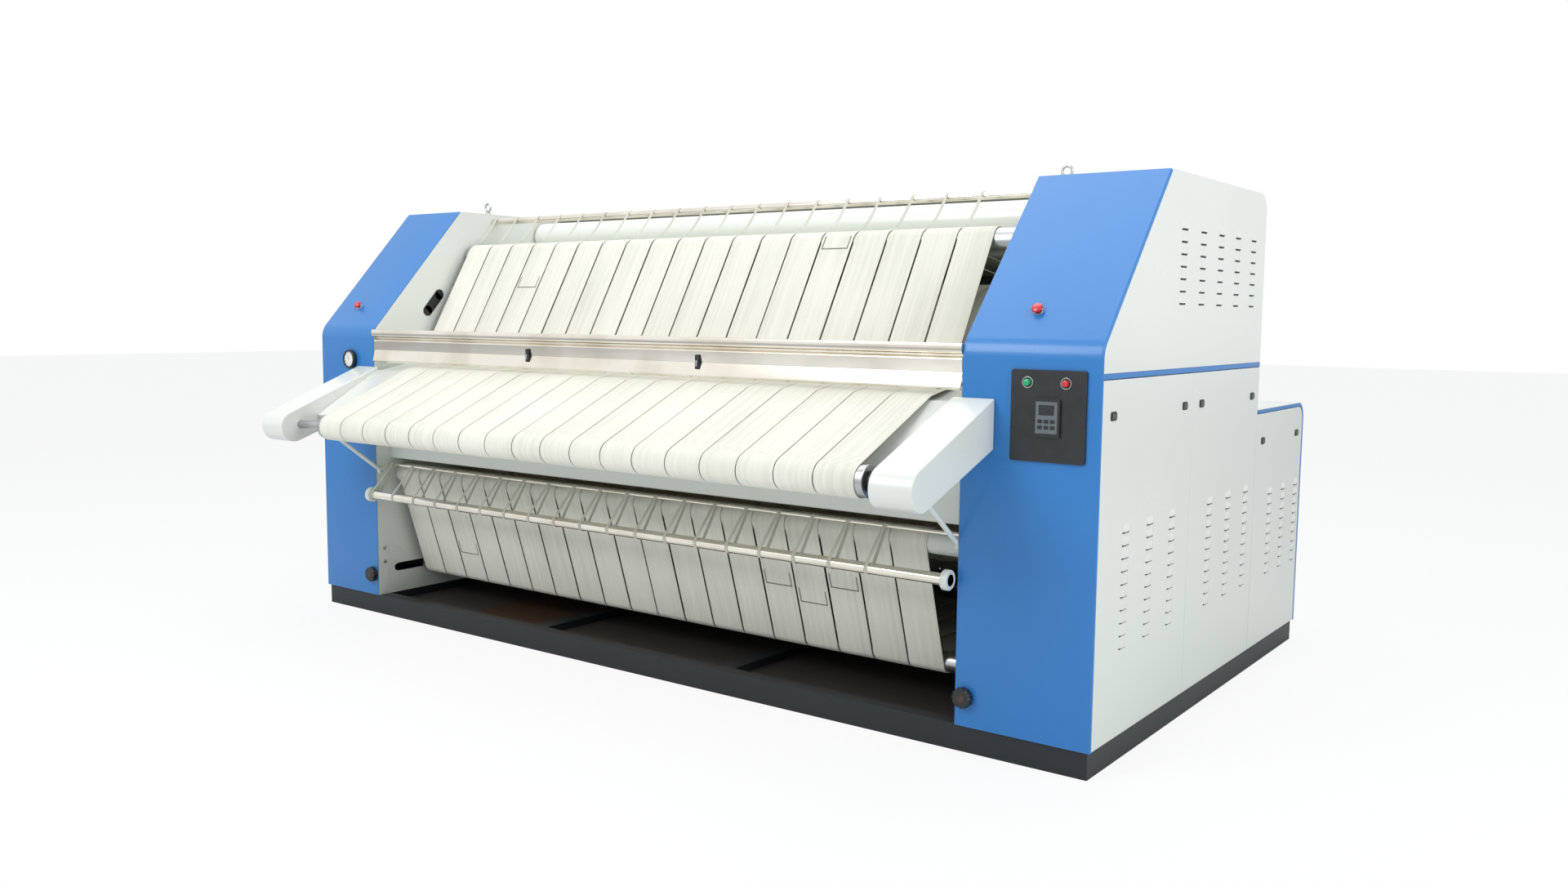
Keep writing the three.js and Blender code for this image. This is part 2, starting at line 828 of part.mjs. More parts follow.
place('low_box_left', lowBoxSheet(leftFace, bayLeft - gap), whitePaint);
place('low_box_right', lowBoxSheet(bayRight + gap, rightFace), whitePaint);
place('rear_lower_panel', lowBoxSheet(bayLeft, bayRight), whitePaint);

const topCoverFront = guideY + guideRadius + topCoverClearance;

function rearUpperPanel() {
  const top = topHeight - rearCornerRadius - gap;
  const profile = rectangle(cabinetDepth - sheet, cabinetDepth, lowBoxHeight + gap, top);
  return alongX(profile, bayLeft + gap, bayRight - gap);
}

function topCover() {
  const line = rearLine(0, topCoverFront, topHeight - rearCornerRadius);
  return alongX(bentSheet(line, sheet), bayLeft + gap, bayRight - gap);
}

place('rear_upper_panel', rearUpperPanel(), whitePaint);
place('top_cover', topCover(), whitePaint);

// ----------------------------------------------------------------- drum
const plateOuterLeft = bayLeft - sidePlateThickness;
const plateOuterRight = bayRight + sidePlateThickness;
const bayCentre = (bayLeft + bayRight) / 2;
const drumHalf = (bayRight - bayLeft) / 2 - drumEndClearance;
const trunnionHalf = drumHalf + drumEndClearance + sidePlateThickness + trunnionReach;

function drum() {
  const profile = [
    [-trunnionHalf, 0],
    [-trunnionHalf, trunnionRadius],
    [-drumHalf + drumHeadRecess, trunnionRadius],
    [-drumHalf + drumHeadRecess, drumRadius - drumHeadRecess],
    [-drumHalf, drumRadius],
    [drumHalf, drumRadius],
    [drumHalf - drumHeadRecess, drumRadius - drumHeadRecess],
    [drumHalf - drumHeadRecess, trunnionRadius],
    [trunnionHalf, trunnionRadius],
    [trunnionHalf, 0],
  ];
  return turnedAlongX(profile, drumSides);
}

place('drum', drum(), polishedSteel, bayCentre, drumCentreY, drumCentreZ);

function drumBearing(side) {
  const plate = side < 0 ? plateOuterLeft : plateOuterRight;
  const start = plate + side * gap;
  const end = start + side * bearingDepth;
  const hole = shaftHole(drumCentreY, drumCentreZ, trunnionRadius, 16);
  const half = trunnionRadius + bearingFlangeMargin;
  const flange = rectangle(drumCentreY - half, drumCentreY + half, drumCentreZ - half, drumCentreZ + half);
  const middle = start + side * bearingFlangeThickness;
  const base = roundCorners(flange, flange.map(() => bearingFlangeCorner), 1);
  const foot = alongX(base, Math.min(start, middle), Math.max(start, middle), [hole]);
  const barrel = alongX(
    circle(drumCentreY, drumCentreZ, trunnionRadius + bearingBarrelWall, 12),
    Math.min(middle - side, end),
    Math.max(middle - side, end),
    [hole],
  );
  return toGeometry(join(foot, barrel));
}

place('drum_bearing_left', drumBearing(-1), castIron);
place('drum_bearing_right', drumBearing(1), castIron);

// --------------------------------------------------------------- rollers
function roller(radius, left = rollerLeft, right = rollerRight, overhang = journalOverhang) {
  const start = left - overhang - rollerEndClearance;
  const end = right + overhang + rollerEndClearance;
  const profile = [
    [start, 0],
    [start, journalRadius],
    [left, journalRadius],
    [left, radius],
    [right, radius],
    [right, journalRadius],
    [end, journalRadius],
    [end, 0],
  ];
  return turnedAlongX(profile, rollerSides);
}

place('infeed_roller', roller(infeedRadius), machinedSteel, 0, infeedY, infeedZ);
place('top_front_roller', roller(topFrontRadius), machinedSteel, 0, topFrontY, topFrontZ);
place('rear_top_roller', roller(rearTopRadius), machinedSteel, 0, rearTopY, rearTopZ);
place('rear_bottom_roller', roller(rearBottomRadius), machinedSteel, 0, rearBottomY, rearBottomZ);
place('tension_roller', roller(tensionRadius), machinedSteel, 0, tensionY, tensionZ);
place('delivery_roller', roller(deliveryRadius), whitePaint, 0, deliveryY, deliveryZ);
place('guide_roller', roller(guideRadius), whitePaint, 0, guideY, guideZ);

// ----------------------------------------------------------------- belts
// A belt runs round circles listed in order of travel; spin is +1 where it
// turns counter-clockwise and -1 where it turns clockwise (round the drum).
function tangentAngle(from, to) {
  const dy = to.y - from.y;
  const dz = to.z - from.z;
  const distance = Math.hypot(dy, dz);
  const heading = Math.atan2(dz, dy);
  const lean = Math.asin((from.spin * from.reach - to.spin * to.reach) / distance);
  return heading + lean;
}

// One list of points for each circle, `shift` outside (or inside) the belt's middle.
function beltArcs(circles, shift) {
  const count = circles.length;
  const headings = circles.map((from, i) => tangentAngle(from, circles[(i + 1) % count]));
  return circles.map((round, i) => {
    const arriving = headings[(i + count - 1) % count];
    const enter = arriving - (round.spin * Math.PI) / 2;
    let turn = headings[i] - arriving;
    while (turn * round.spin < 0) {
      turn += round.spin * 2 * Math.PI;
    }
    while (turn * round.spin >= 2 * Math.PI) {
      turn -= round.spin * 2 * Math.PI;
    }
    const reach = round.reach + round.spin * shift;
    const degrees = THREE.MathUtils.radToDeg(Math.abs(turn));
    const steps = Math.max(1, Math.ceil(degrees / round.step));
    const from = THREE.MathUtils.radToDeg(enter);
    return arc(round.y, round.z, reach, from, from + THREE.MathUtils.radToDeg(turn), steps);
  });
}

function wheel(y, z, radius, spin, step, thickness) {
  const clear = (radius + runningGap) / Math.cos(THREE.MathUtils.degToRad(step / 2));
  return { y, z, reach: clear + thickness / 2, spin, step };
}

const topFrontWheel = wheel(topFrontY, topFrontZ, topFrontRadius, 1, rollerStep, beltThickness);
const ironingPath = [
  wheel(drumCentreY, drumCentreZ, drumRadius, -1, drumStep, beltThickness),
  wheel(deliveryY, deliveryZ, deliveryRadius, 1, deliveryStep, beltThickness),
  wheel(tensionY, tensionZ, tensionRadius, 1, rollerStep, beltThickness),
  wheel(rearBottomY, rearBottomZ, rearBottomRadius, 1, rearRollerStep, beltThickness),
  wheel(rearTopY, rearTopZ, rearTopRadius, 1, rearRollerStep, beltThickness),
  topFrontWheel,
  wheel(infeedY, infeedZ, infeedRadius, 1, hiddenRollerStep, beltThickness),
];

// Nineteen endless belts; eighteen guide tapes lie edge to edge with them where
// both wrap the drum. The wrap is a full-width sheet, and each belt leaves it at
// one end and comes back at the other, so that all of them share their corners.
function ironingBelts() {
  const outside = beltArcs(ironingPath, beltThickness / 2);
  const inside = beltArcs(ironingPath, -beltThickness / 2);
  const freeRun = ([drumArc, ...others]) => [drumArc.at(-1), ...others.flat(), drumArc[0]];
  const lefts = Array.from({ length: beltCount }, (_, i) => beltsLeft + i * beltPitch);
  const edges = lefts.flatMap((left) => [left, left + beltWidth]);
  const ends = [edges[0], edges.at(-1)];
  const corners = [];
  const at = (spot, x) => new THREE.Vector3(x, spot.x, spot.y);
  const fan = ([apex, ...ring], flip) => {
    const rest = flip ? ring.reverse() : ring;
    for (let i = 1; i < rest.length; i += 1) {
      corners.push(apex, rest[i - 1], rest[i]);
    }
  };
  const sides = (outer, inner, x, flip) => {
    for (let i = 1; i < outer.length; i += 1) {
      fan([outer[i - 1], inner[i - 1], inner[i], outer[i]].map((spot) => at(spot, x)), flip);
    }
  };
  const face = (line, [x0, x1], flip) => {
    for (let i = 1; i < line.length; i += 1) {
      fan([at(line[i - 1], x0), at(line[i], x0), at(line[i], x1), at(line[i - 1], x1)], flip);
    }
  };
  const wrapFace = (line, flip) => {
    const first = edges.map((x) => at(line[0], x)).reverse();
    const last = edges.map((x) => at(line.at(-1), x));
    fan([...ends.map((x) => at(line[1], x)), ...first], flip);
    face(line.slice(1, -1), ends, flip);
    fan([at(line.at(-2), ends[0]), ...last, at(line.at(-2), ends[1])], flip);
  };
  wrapFace(outside[0], false);
  wrapFace(inside[0], true);
  sides(outside[0], inside[0], ends[0], false);
  sides(outside[0], inside[0], ends[1], true);
  for (const x0 of lefts) {
    const x1 = x0 + beltWidth;
    face(freeRun(outside), [x0, x1], false);
    face(freeRun(inside), [x0, x1], true);
    sides(freeRun(outside), freeRun(inside), x0, false);
    sides(freeRun(outside), freeRun(inside), x1, true);
  }
  for (const x0 of lefts.slice(1)) {
    const tape = [x0 - beltGap, x0];
    face([outside[0].at(-1), inside[0].at(-1)], tape, false);
    face([outside[0][0], inside[0][0]], tape, true);
  }
  return new THREE.BufferGeometry().setFromPoints(corners);
}

place('ironing_belts', ironingBelts(), beltCloth);

// ----------------------------------------------------------- feed conveyor
const feedPath = [
  wheel(feedRollerY, feedRollerZ, feedRollerRadius, 1, rollerStep, feedBeltThickness),
  wheel(feedRearY, feedRearZ, feedRearRadius, 1, rearRollerStep, feedBeltThickness),
  wheel(0, feedCrestZ - feedRearRadius, feedRearRadius, 1, rollerStep, feedBeltThickness),
];
const armInnerLeft = bayLeft + armOverBay;
const armInnerRight = bayRight - armOverBay;
const feedBeltsRight = feedBeltsLeft + feedBeltCount * beltPitch;

function alongLine(from, to, y) {
  return point(y, from.y + ((to.y - from.y) * (y - from.x)) / (to.x - from.x));
}

// The slider bed carries the upper run and bends at the crest.
function feedBed() {
  const [front, rear, crest] = beltArcs(feedPath, -feedBeltThickness / 2 + 0.4);
  const top = [
    alongLine(rear.at(-1), crest[0], feedBedRear),
    ...crest,
    alongLine(crest.at(-1), front[0], feedBedFront),
  ];
  return alongX(bentSheet(top, -feedBedThickness), armInnerLeft + gap, armInnerRight - gap);
}

function feedBelts() {
  const outside = beltArcs(feedPath, feedBeltThickness / 2).flat();
  const inside = beltArcs(feedPath, -feedBeltThickness / 2).flat();
  const pieces = [feedBed()];
  for (let i = 0; i < feedBeltCount; i += 1) {
    const left = feedBeltsLeft + i * beltPitch;
    pieces.push(alongX(outside, left, left + beltPitch - beltGap / 2, [inside]));
  }
  return toGeometry(join(...pieces));
}

place('feed_belts', feedBelts(), beltCloth);

function feedFrontRoller() {
  const left = feedBeltsLeft - 2 * rollerEndClearance;
  const right = feedBeltsRight + 2 * rollerEndClearance;
  const profile = [
    [armInnerLeft - journalOverhang, 0],
    [armInnerLeft - journalOverhang, journalRadius],
    [left, journalRadius],
    [left, feedRollerRadius],
    [right, feedRollerRadius],
    [right, journalRadius],
    [armInnerRight + journalOverhang, journalRadius],
    [armInnerRight + journalOverhang, 0],
  ];
  return turnedAlongX(profile, rollerSides);
}

place('feed_front_roller', feedFrontRoller(), machinedSteel, 0, feedRollerY, feedRollerZ);
place('feed_rear_roller', roller(feedRearRadius), machinedSteel, 0, feedRearY, feedRearZ);

// ------------------------------------------------------------- feed arms
function armProfile(inset) {
  const radius = armNoseRadius - inset;
  const rise = Math.atan2(armRearTop - armNoseZ - armNoseRadius, -armNoseY);
  const fall = Math.atan2(armRearBottom - armNoseZ + armNoseRadius, -armNoseY);
  const from = THREE.MathUtils.radToDeg(rise) + 90;
  const to = THREE.MathUtils.radToDeg(fall) + 270;
  return [
    point(-gap, armRearBottom + inset),
    point(-gap, armRearTop - inset),
    ...arc(armNoseY, armNoseZ, radius, from, to, 8),
  ];
}

function feedArm(side) {
  const inner = side < 0 ? armInnerLeft : armInnerRight;
  const outer = inner + side * armWidth;
  const hollowInner = inner + side * sheet;
  const hollowOuter = outer - side * sheet;
  const hole = shaftHole(feedRollerY, feedRollerZ, journalRadius);
  const cover = alongX(armProfile(0), Math.min(inner, outer), Math.max(inner, outer));
  const room = armProfile(sheet);
  room[0].x = 1;
  room[1].x = 1;
  const hollow = alongX(room, Math.min(hollowInner, hollowOuter), Math.max(hollowInner, hollowOuter));
  const boreEnds = [inner - side, hollowInner + side];
  const bore = alongX(hole, Math.min(...boreEnds), Math.max(...boreEnds));
  return toGeometry(cut(toSolid(cover), hollow, bore));
}

place('feed_arm_left', feedArm(-1), whitePaint);
place('feed_arm_right', feedArm(1), whitePaint);

function armUnderside(y) {
  const profile = armProfile(0);
  return alongLine(profile.at(-1), profile[0], y).y;
}

// A stay from the underside of the arm down to the inner side plate.
function strut(side) {
  const inner = side < 0 ? bayLeft : bayRight;
  const x = inner - side * (strutRadius + gap);
  const top = new THREE.Vector3(x, strutTopY, armUnderside(strutTopY) - strutRadius - 1);
  const foot = new THREE.Vector3(x, strutFootY, strutFootZ);
  const path = new THREE.LineCurve3(foot, top);
  const section = new THREE.Shape(circle(0, 0, strutRadius, 8));
  const bar = new THREE.ExtrudeGeometry(section, { steps: 1, extrudePath: path });
  const pad = block(
    x - strutRadius, x + strutRadius, top.y - strutPadHalf, top.y + strutPadHalf,
    top.z - strutPadHeight, armUnderside(top.y - strutPadHalf) - gap,
  );
  const eye = alongX(circle(foot.y, foot.z, strutEyeRadius, 10), x - strutRadius, x + strutRadius);
  return toGeometry(join(bar, pad, eye));
}

place('strut_left', strut(-1), whitePaint);
place('strut_right', strut(1), whitePaint);

// ------------------------------------ front rail, finger guard, delivery cover
function frontRail() {
  const outline = rectangle(railFront, railFront + railDepth, railTop - railHeight, railTop);
  return alongX(roundCorners(outline, [8, 8, 8, 8], 3), bayLeft + gap, bayRight - gap);
}

place('front_rail', frontRail(), polishedSteel);

const guardHingeZ = railTop - railHeight - guardHingeRadius - gap;

// Folded polished plate that hangs in front of the nip from a round hinge edge.
function fingerGuard() {
  const fall = guardHingeZ - guardFoldZ;
  const line = [
    point(0, 0),
    point(-guardBulge, -guardBulgeDrop),
    point(-guardFoldDepth, -fall),
    point(-guardBulge - guardFoldDepth, guardBottomZ - guardHingeZ),
    point(guardLip - guardBulge - guardFoldDepth, guardBottomZ - guardHingeZ - guardLipDrop),
  ];
  const from = bayLeft + guardEndClearance;
  const to = bayRight - guardEndClearance;
  const plate = alongX(bentSheet(line, -guardThickness), from, to);
  const hinge = alongX(circle(0, 0, guardHingeRadius, 10), bayLeft + gap, bayRight - gap);
  return toGeometry(join(plate, hinge));
}

place('finger_guard', fingerGuard(), polishedSteel, 0, guardHingeY, guardHingeZ);

function deliveryCover() {
  const line = [
    point(coverTopY + coverTopLip, coverTop + coverLipFall),
    point(coverTopY, coverTop),
    point(coverFootY, coverBreak),
    point(coverFootY, coverFoot),
    point(coverFootY + coverFootLip, coverFoot - coverLipFall / 3),
  ];
  return alongX(bentSheet(line, -coverThickness), bayLeft + gap, bayRight - gap);
}

place('delivery_cover', deliveryCover(), whitePaint);

// ----------------------------------------------------------------- tapes
function tapePlaces() {
  return Array.from({ length: beltCount }, (_, i) => beltsLeft + i * beltPitch - beltGap / 2);
}

// Guide tapes hang from the upper rod into the gaps between the belts.
function tapeRod() {
  const rod = alongX(circle(0, 0, tapeRodRadius, 12), bayLeft + gap, bayRight - gap);
  const hold = tapeRodRadius - tapeGrip / 2;
  const dropY = topFrontY + tapeReachBack - tapeRodY;
  const dropZ = topFrontZ + topFrontWheel.reach + beltThickness + tapeToBelt - tapeRodZ;
  const line = [...arc(0, 0, hold, 60, 150, 3), point(dropY, dropZ)];
  const tapes = tapePlaces().map((x) => alongX(
    bentSheet(line, -tapeThickness),
    x - tapeWidth / 2,
    x + tapeWidth / 2,
  ));
  return toGeometry(join(rod, ...tapes));
}

place('tape_rod', tapeRod(), polishedSteel, 0, tapeRodY, tapeRodZ);

// Stainless tube in front of the delivery slit, with a flange at each end and
// the lower guide tapes looped round it and the thin rod at the slit.
function deliveryTube() {
  const from = bayLeft + tubeEndLeft;
  const to = bayRight - tubeEndRight;
  const tube = alongX(circle(tubeY, tubeZ, tubeRadius, tubeSides), from, to);
  const flange = circle(tubeY, tubeZ, tubeFlangeRadius, 16);
  const flanges = [
    alongX(flange, from, from + tubeFlangeThickness),
    alongX(flange, to - tubeFlangeThickness, to),
  ];
  const rod = alongX(circle(slitRodY, slitRodZ, slitRodRadius, slitRodSides), bayLeft + gap, bayRight - gap);
  const hug = (y, z, radius, sides, step) => {
    const flat = radius * Math.cos(Math.PI / sides) - tapeGrip;
    const reach = flat / Math.cos(THREE.MathUtils.degToRad(step / 2)) + tapeThickness / 2;
    return { y, z, reach, spin: 1, step };
  };
  const loop = [
    hug(tubeY, tubeZ, tubeRadius, tubeSides, tubeWrapStep),
    hug(slitRodY, slitRodZ, slitRodRadius, slitRodSides, slitWrapStep),
  ];
  const outside = beltArcs(loop, tapeThickness / 2).flat();
  const [roundTube, roundRod] = beltArcs(loop, -tapeThickness / 2);
  const between = [roundTube[0], roundTube.at(-1), roundRod[0], roundRod.at(-1)];
  const tapes = tapePlaces().map((x) => alongX(outside, x - tapeWidth / 2, x + tapeWidth / 2, [between]));
  return toGeometry(join(tube, ...flanges, rod, ...tapes));
}

place('delivery_tube', deliveryTube(), polishedSteel);

// ---------------------------------------------------------------- controls
function controlPanel() {
  const back = -gap;
  const front = back - controlPanelThickness;
  const halfW = controlPanelWidth / 2;
  const halfH = controlPanelHeight / 2;
  const corners = [point(-halfW, -halfH), point(halfW, -halfH), point(halfW, halfH), point(-halfW, halfH)];
  const plate = alongZ(roundCorners(corners, [8, 8, 8, 8], 3), 0, controlPanelThickness);
  plate.rotateX(Math.PI / 2).translate(0, back, 0);
  const keypad = block(
    -keypadWidth / 2, keypadWidth / 2, front - keypadLift, front + 1,
    -keypadDrop - keypadHeight / 2, -keypadDrop + keypadHeight / 2,
  );
  const window = block(
    -keypadWidth / 2 + keypadFrame, keypadWidth / 2 - keypadFrame,
    front - keypadLift - 1, front - keypadLift + keypadWindowDepth,
    -keypadDrop + keypadFrame, -keypadDrop + keypadHeight / 2 - keypadFrame,
  );
  const bezels = [startButtonX, stopButtonX].map((x) => disc(
    buttonBezelRadius, front - buttonBezelLift, front + 1, x, buttonRowZ, buttonSides,
  ));
  const pockets = [startButtonX, stopButtonX].map((x) => disc(
    buttonRadius + 1, front - 40, front + buttonPocket, x, buttonRowZ, buttonSides,
  ));
  return toGeometry(cut(join(plate, keypad, ...bezels), window, ...pockets));
}

place('control_panel', controlPanel(), blackPlastic, controlPanelX, 0, controlPanelZ);

function pushButton() {
  const foot = buttonPocket - buttonTravel - gap;
  const profile = [
    point(0, 0),
    point(buttonRadius, 0),
    point(buttonRadius, buttonLength - buttonCrown),
    point(buttonRadius - buttonCrown, buttonLength),
    point(0, buttonLength),
  ];
  return new THREE.LatheGeometry(profile, buttonSides).rotateX(Math.PI).translate(0, foot, 0);
}

const panelFront = -gap - controlPanelThickness;
const buttonZ = controlPanelZ + buttonRowZ;
place('start_button', pushButton(), greenPlastic, controlPanelX + startButtonX, panelFront, buttonZ);
place('stop_button', pushButton(), redPlastic, controlPanelX + stopButtonX, panelFront, buttonZ);

// Mushroom stop on the slanted panel; its own Y axis points out of the panel.
function mushroom() {
  const profile = [
    point(0, -mushroomNeck),
    point(mushroomStem, -mushroomNeck),
    point(mushroomStem, mushroomNeck),
    point(mushroomRadius - 3, mushroomNeck),
    point(mushroomRadius, mushroomNeck + 4),
    point(mushroomRadius - 4, mushroomNeck + mushroomHeight - 3),
    point(mushroomRadius / 2, mushroomNeck + mushroomHeight),
    point(0, mushroomNeck + mushroomHeight + 1),
  ];
  return new THREE.LatheGeometry(profile, 12);
}

for (const side of [-1, 1]) {
  const name = `emergency_button_${side < 0 ? 'left' : 'right'}`;
  const mesh = place(name, mushroom(), redPlastic, ...mushroomSeat(side).toArray());
  mesh.quaternion.setFromUnitVectors(new THREE.Vector3(0, 1, 0), slantNormal);
}

function pressureGauge() {
  const profile = [
    point(0, 0),
    point(gaugeRadius, 0),
    point(gaugeRadius, gaugeDepth - 3),
    point(gaugeRadius - 3, gaugeDepth),
    point(gaugeRadius - 7, gaugeDepth),
    point(gaugeRadius - 9, gaugeDepth - 6),
    point(0, gaugeDepth - 6),
  ];
  return new THREE.LatheGeometry(profile, 20).rotateX(Math.PI);
}

place('pressure_gauge', pressureGauge(), gaugeWhite, gaugeX, -gap, gaugeZ);

// Fluted hand knob on its screw, which ends in the nut block of the side plate.
function tensionKnob() {
  const rim = [];
  for (let i = 0; i < knobFlutes * 4; i += 1) {
    const angle = (i * 2 * Math.PI) / (knobFlutes * 4);
    const radius = i % 4 === 0 ? knobRadius - knobFluteDepth : knobRadius;
    rim.push(point(radius * Math.cos(angle), radius * Math.sin(angle)));
  }
  const head = alongZ(rim, 0, knobThickness).rotateX(Math.PI / 2).translate(0, -gap, 0);
  const end = panelInset + knobNutDistance + knobBlockDepth;
  const screw = disc(knobShaftRadius, -gap - 1, end, 0, 0, 12);
  return toGeometry(join(head, screw));
}

place('tension_knob_left', tensionKnob(), blackPlastic, ...knobPlace(-1).toArray());
place('tension_knob_right', tensionKnob(), blackPlastic, ...knobPlace(1).toArray());

function eyeBolt() {
  const upright = new THREE.TorusGeometry(eyeRingRadius, eyeWireRadius, 5, 12);
  upright.rotateX(Math.PI / 2).translate(0, 0, eyeCollarHeight + eyeRingRadius + eyeWireRadius - 2);
  const collar = alongZ(circle(0, 0, eyeCollarRadius, 8), 0, eyeCollarHeight);
  return toGeometry(join(upright, collar));
}

const eyeSeat = topHeight + gap;
place('eye_bolt_left', eyeBolt(), machinedSteel, bayLeft - eyeFromBay, eyeY, eyeSeat);
place('eye_bolt_right', eyeBolt(), machinedSteel, bayRight + eyeFromBay, eyeY, eyeSeat);

// -------------------------------------------------------------------- drive
const toothStep = (2 * Math.PI * drumSprocketRadius) / drumSprocketTeeth;
const motorSprocketRadius = (toothStep * motorSprocketTeeth) / (2 * Math.PI);
const sprocketX = plateOuterRight + sprocketFromPlate;

function toothedRim(radius, teeth) {
  const rim = [];
  for (let i = 0; i < teeth; i += 1) {
    const pitchAngle = (2 * Math.PI) / teeth;
    for (const [share, height] of [[0, -toothHeight], [0.4, 0], [0.6, 0]]) {
      const angle = (i + share) * pitchAngle;
      rim.push(point((radius + height) * Math.cos(angle), (radius + height) * Math.sin(angle)));
    }
  }
  return rim;
}

function sprocket(radius, teeth, bore, hubRadius) {
  const half = sprocketThickness / 2;
  const hole = circle(0, 0, (bore + gap) / Math.cos(Math.PI / 12) + gap, 12);
  const disk = alongX(toothedRim(radius, teeth), -half, half);
  const hub = alongX(circle(0, 0, hubRadius, 12), -half - hubLength, half - 1);
  return toGeometry(cut(join(disk, hub), alongX(hole, -half - hubLength - 1, half + 1)));
}

place(
  'drum_sprocket',
  sprocket(drumSprocketRadius, drumSprocketTeeth, trunnionRadius, trunnionRadius + drumHubWall),
  machinedSteel, sprocketX, drumCentreY, drumCentreZ,
);
place(
  'motor_sprocket',
  sprocket(motorSprocketRadius, motorSprocketTeeth, motorShaftRadius, motorShaftRadius + hubWall),
  machinedSteel, sprocketX, motorShaftY, motorShaftZ,
);

function driveChain() {
  const round = (y, z, radius, step) => ({
    y,
    z,
    reach: (radius + chainClearance) / Math.cos(THREE.MathUtils.degToRad(step / 2)) + chainThickness / 2,
    spin: 1,
    step,
  });
  const loop = [
    round(drumCentreY, drumCentreZ, drumSprocketRadius, 15),
    round(motorShaftY, motorShaftZ, motorSprocketRadius, 30),
  ];
  const outside = beltArcs(loop, chainThickness / 2).flat();
  const inside = beltArcs(loop, -chainThickness / 2).flat();
  return alongX(outside, sprocketX - chainWidth / 2, sprocketX + chainWidth / 2, [inside]);
}

place('drive_chain', driveChain(), castIron);

function gearmotor() {
  const x0 = plateOuterRight + gearboxFromPlate;
  const x1 = sprocketX - sprocketThickness / 2 - hubLength - gearboxToSprocket;
  const half = gearboxSize / 2;
  const y0 = motorShaftY - half;
  const y1 = motorShaftY + half;
  const inset = gearboxColumnInset;
  const margin = gearboxFootMargin;
  const box = block(x0, x1, y0, y1, motorShaftZ - half, motorShaftZ + half);
  const column = block(x0 + inset, x1 - inset, y0 + inset, y1 - inset, floorSeat, motorShaftZ - half + 1);
  const foot = block(x0, x1, y0 - margin, y1 + margin, floorSeat, floorSeat + gearboxFootHeight);
  const motorRadius = Math.min(motorBodyRadius, (x1 - x0) / 2);
  const body = disc(motorRadius, y1 - 1, y1 + motorBodyLength, (x0 + x1) / 2, motorShaftZ, 16);
  const shaftEnd = sprocketX + sprocketThickness / 2 + motorShaftEnd;
  const shaft = alongX(circle(motorShaftY, motorShaftZ, motorShaftRadius, 16), x1 - 1, shaftEnd);
  return toGeometry(join(box, column, foot, body, shaft));
}

place('gearmotor', gearmotor(), castIron);

// Rotary joint on the left trunnion with the pipe that brings the steam.
function steamJoint() {
  const trunnionEnd = bayCentre - trunnionHalf;
  const start = trunnionEnd - gap;
  const bodyRadius = trunnionRadius - steamBodyStep;
  const body = alongX(circle(drumCentreY, drumCentreZ, bodyRadius, 16), start - steamBodyLength, start);
  const x = start - steamPipeFromEnd;
  const pipe = alongZ(circle(x, drumCentreY, steamPipeRadius, 12), floorSeat, drumCentreZ);
  const flangeRadius = steamPipeRadius + steamPipeFlange;
  const neck = alongZ(circle(x, drumCentreY, flangeRadius, 12), floorSeat, floorSeat + steamPipeFlangeHeight);
  return toGeometry(join(body, pipe, neck));
}

place('steam_joint', steamJoint(), castIron);

export default flatworkIroner;
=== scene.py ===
"""Looks of a flatwork ironer: cloth belts, painted sheet metal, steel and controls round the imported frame."""
import logging
import math
from dataclasses import dataclass, field
from enum import Enum

import bmesh
import bpy
import numpy as np
from mathutils import Matrix, Vector


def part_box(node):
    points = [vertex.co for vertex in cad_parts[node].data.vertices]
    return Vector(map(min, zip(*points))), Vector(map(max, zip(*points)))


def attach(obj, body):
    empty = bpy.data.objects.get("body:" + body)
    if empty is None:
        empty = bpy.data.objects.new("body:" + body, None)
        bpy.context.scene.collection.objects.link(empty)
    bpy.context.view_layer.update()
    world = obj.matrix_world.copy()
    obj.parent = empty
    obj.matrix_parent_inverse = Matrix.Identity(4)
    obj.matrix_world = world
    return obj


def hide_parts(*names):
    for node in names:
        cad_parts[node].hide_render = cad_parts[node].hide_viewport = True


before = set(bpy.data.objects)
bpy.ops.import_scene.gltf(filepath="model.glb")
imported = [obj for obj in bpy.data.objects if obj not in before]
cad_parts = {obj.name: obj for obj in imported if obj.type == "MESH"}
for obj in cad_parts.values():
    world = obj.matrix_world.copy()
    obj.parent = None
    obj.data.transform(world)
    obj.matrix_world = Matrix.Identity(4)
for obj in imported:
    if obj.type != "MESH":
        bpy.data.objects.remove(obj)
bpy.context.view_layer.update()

LOG = logging.getLogger("ironer")

MM = 0.001
FRONT_FACE_Y = -0.935      # the cabinets' front plane in the frame, metres
ROOT = "machine"

# Driving places of the machine, millimetres from its front plane and the floor
LEFT_FACE, RIGHT_FACE = -2100.0, 2100.0
BAY_LEFT, BAY_RIGHT = -1670.0, 1600.0
KINK_Z, TOP_Z, SLANT_RUN, KINK_R = 1415.0, 2030.0, 547.0, 100.0
CABINET_DEPTH, BASE_DEPTH, REAR_R = 1674.0, 2400.0, 80.0
LOW_BOX_Z, WAIST_Z, SEAT_Z = 1133.0, 1334.0, 95.3
SLANT = math.atan2(TOP_Z - KINK_Z, SLANT_RUN)
SHEET = 3.0                # thickness of the painted sheets
FLANGE = 12.0              # depth of the folded edges
BODY_INSET = 12.0          # side plate to the end of a roller's body
JOURNAL_R, JOURNAL_LENGTH = 18.0, 46.0


def linear(code: str) -> tuple[float, float, float, float]:
    """Turns an sRGB hex code into a linear colour.

    Args:
        code: six hex digits.

    Returns:
        Red, green, blue and alpha.
    """
    shares = [int(code[i:i + 2], 16) / 255 for i in (0, 2, 4)]
    parts = [s / 12.92 if s <= 0.04045 else ((s + 0.055) / 1.055) ** 2.4 for s in shares]
    return (*parts, 1.0)


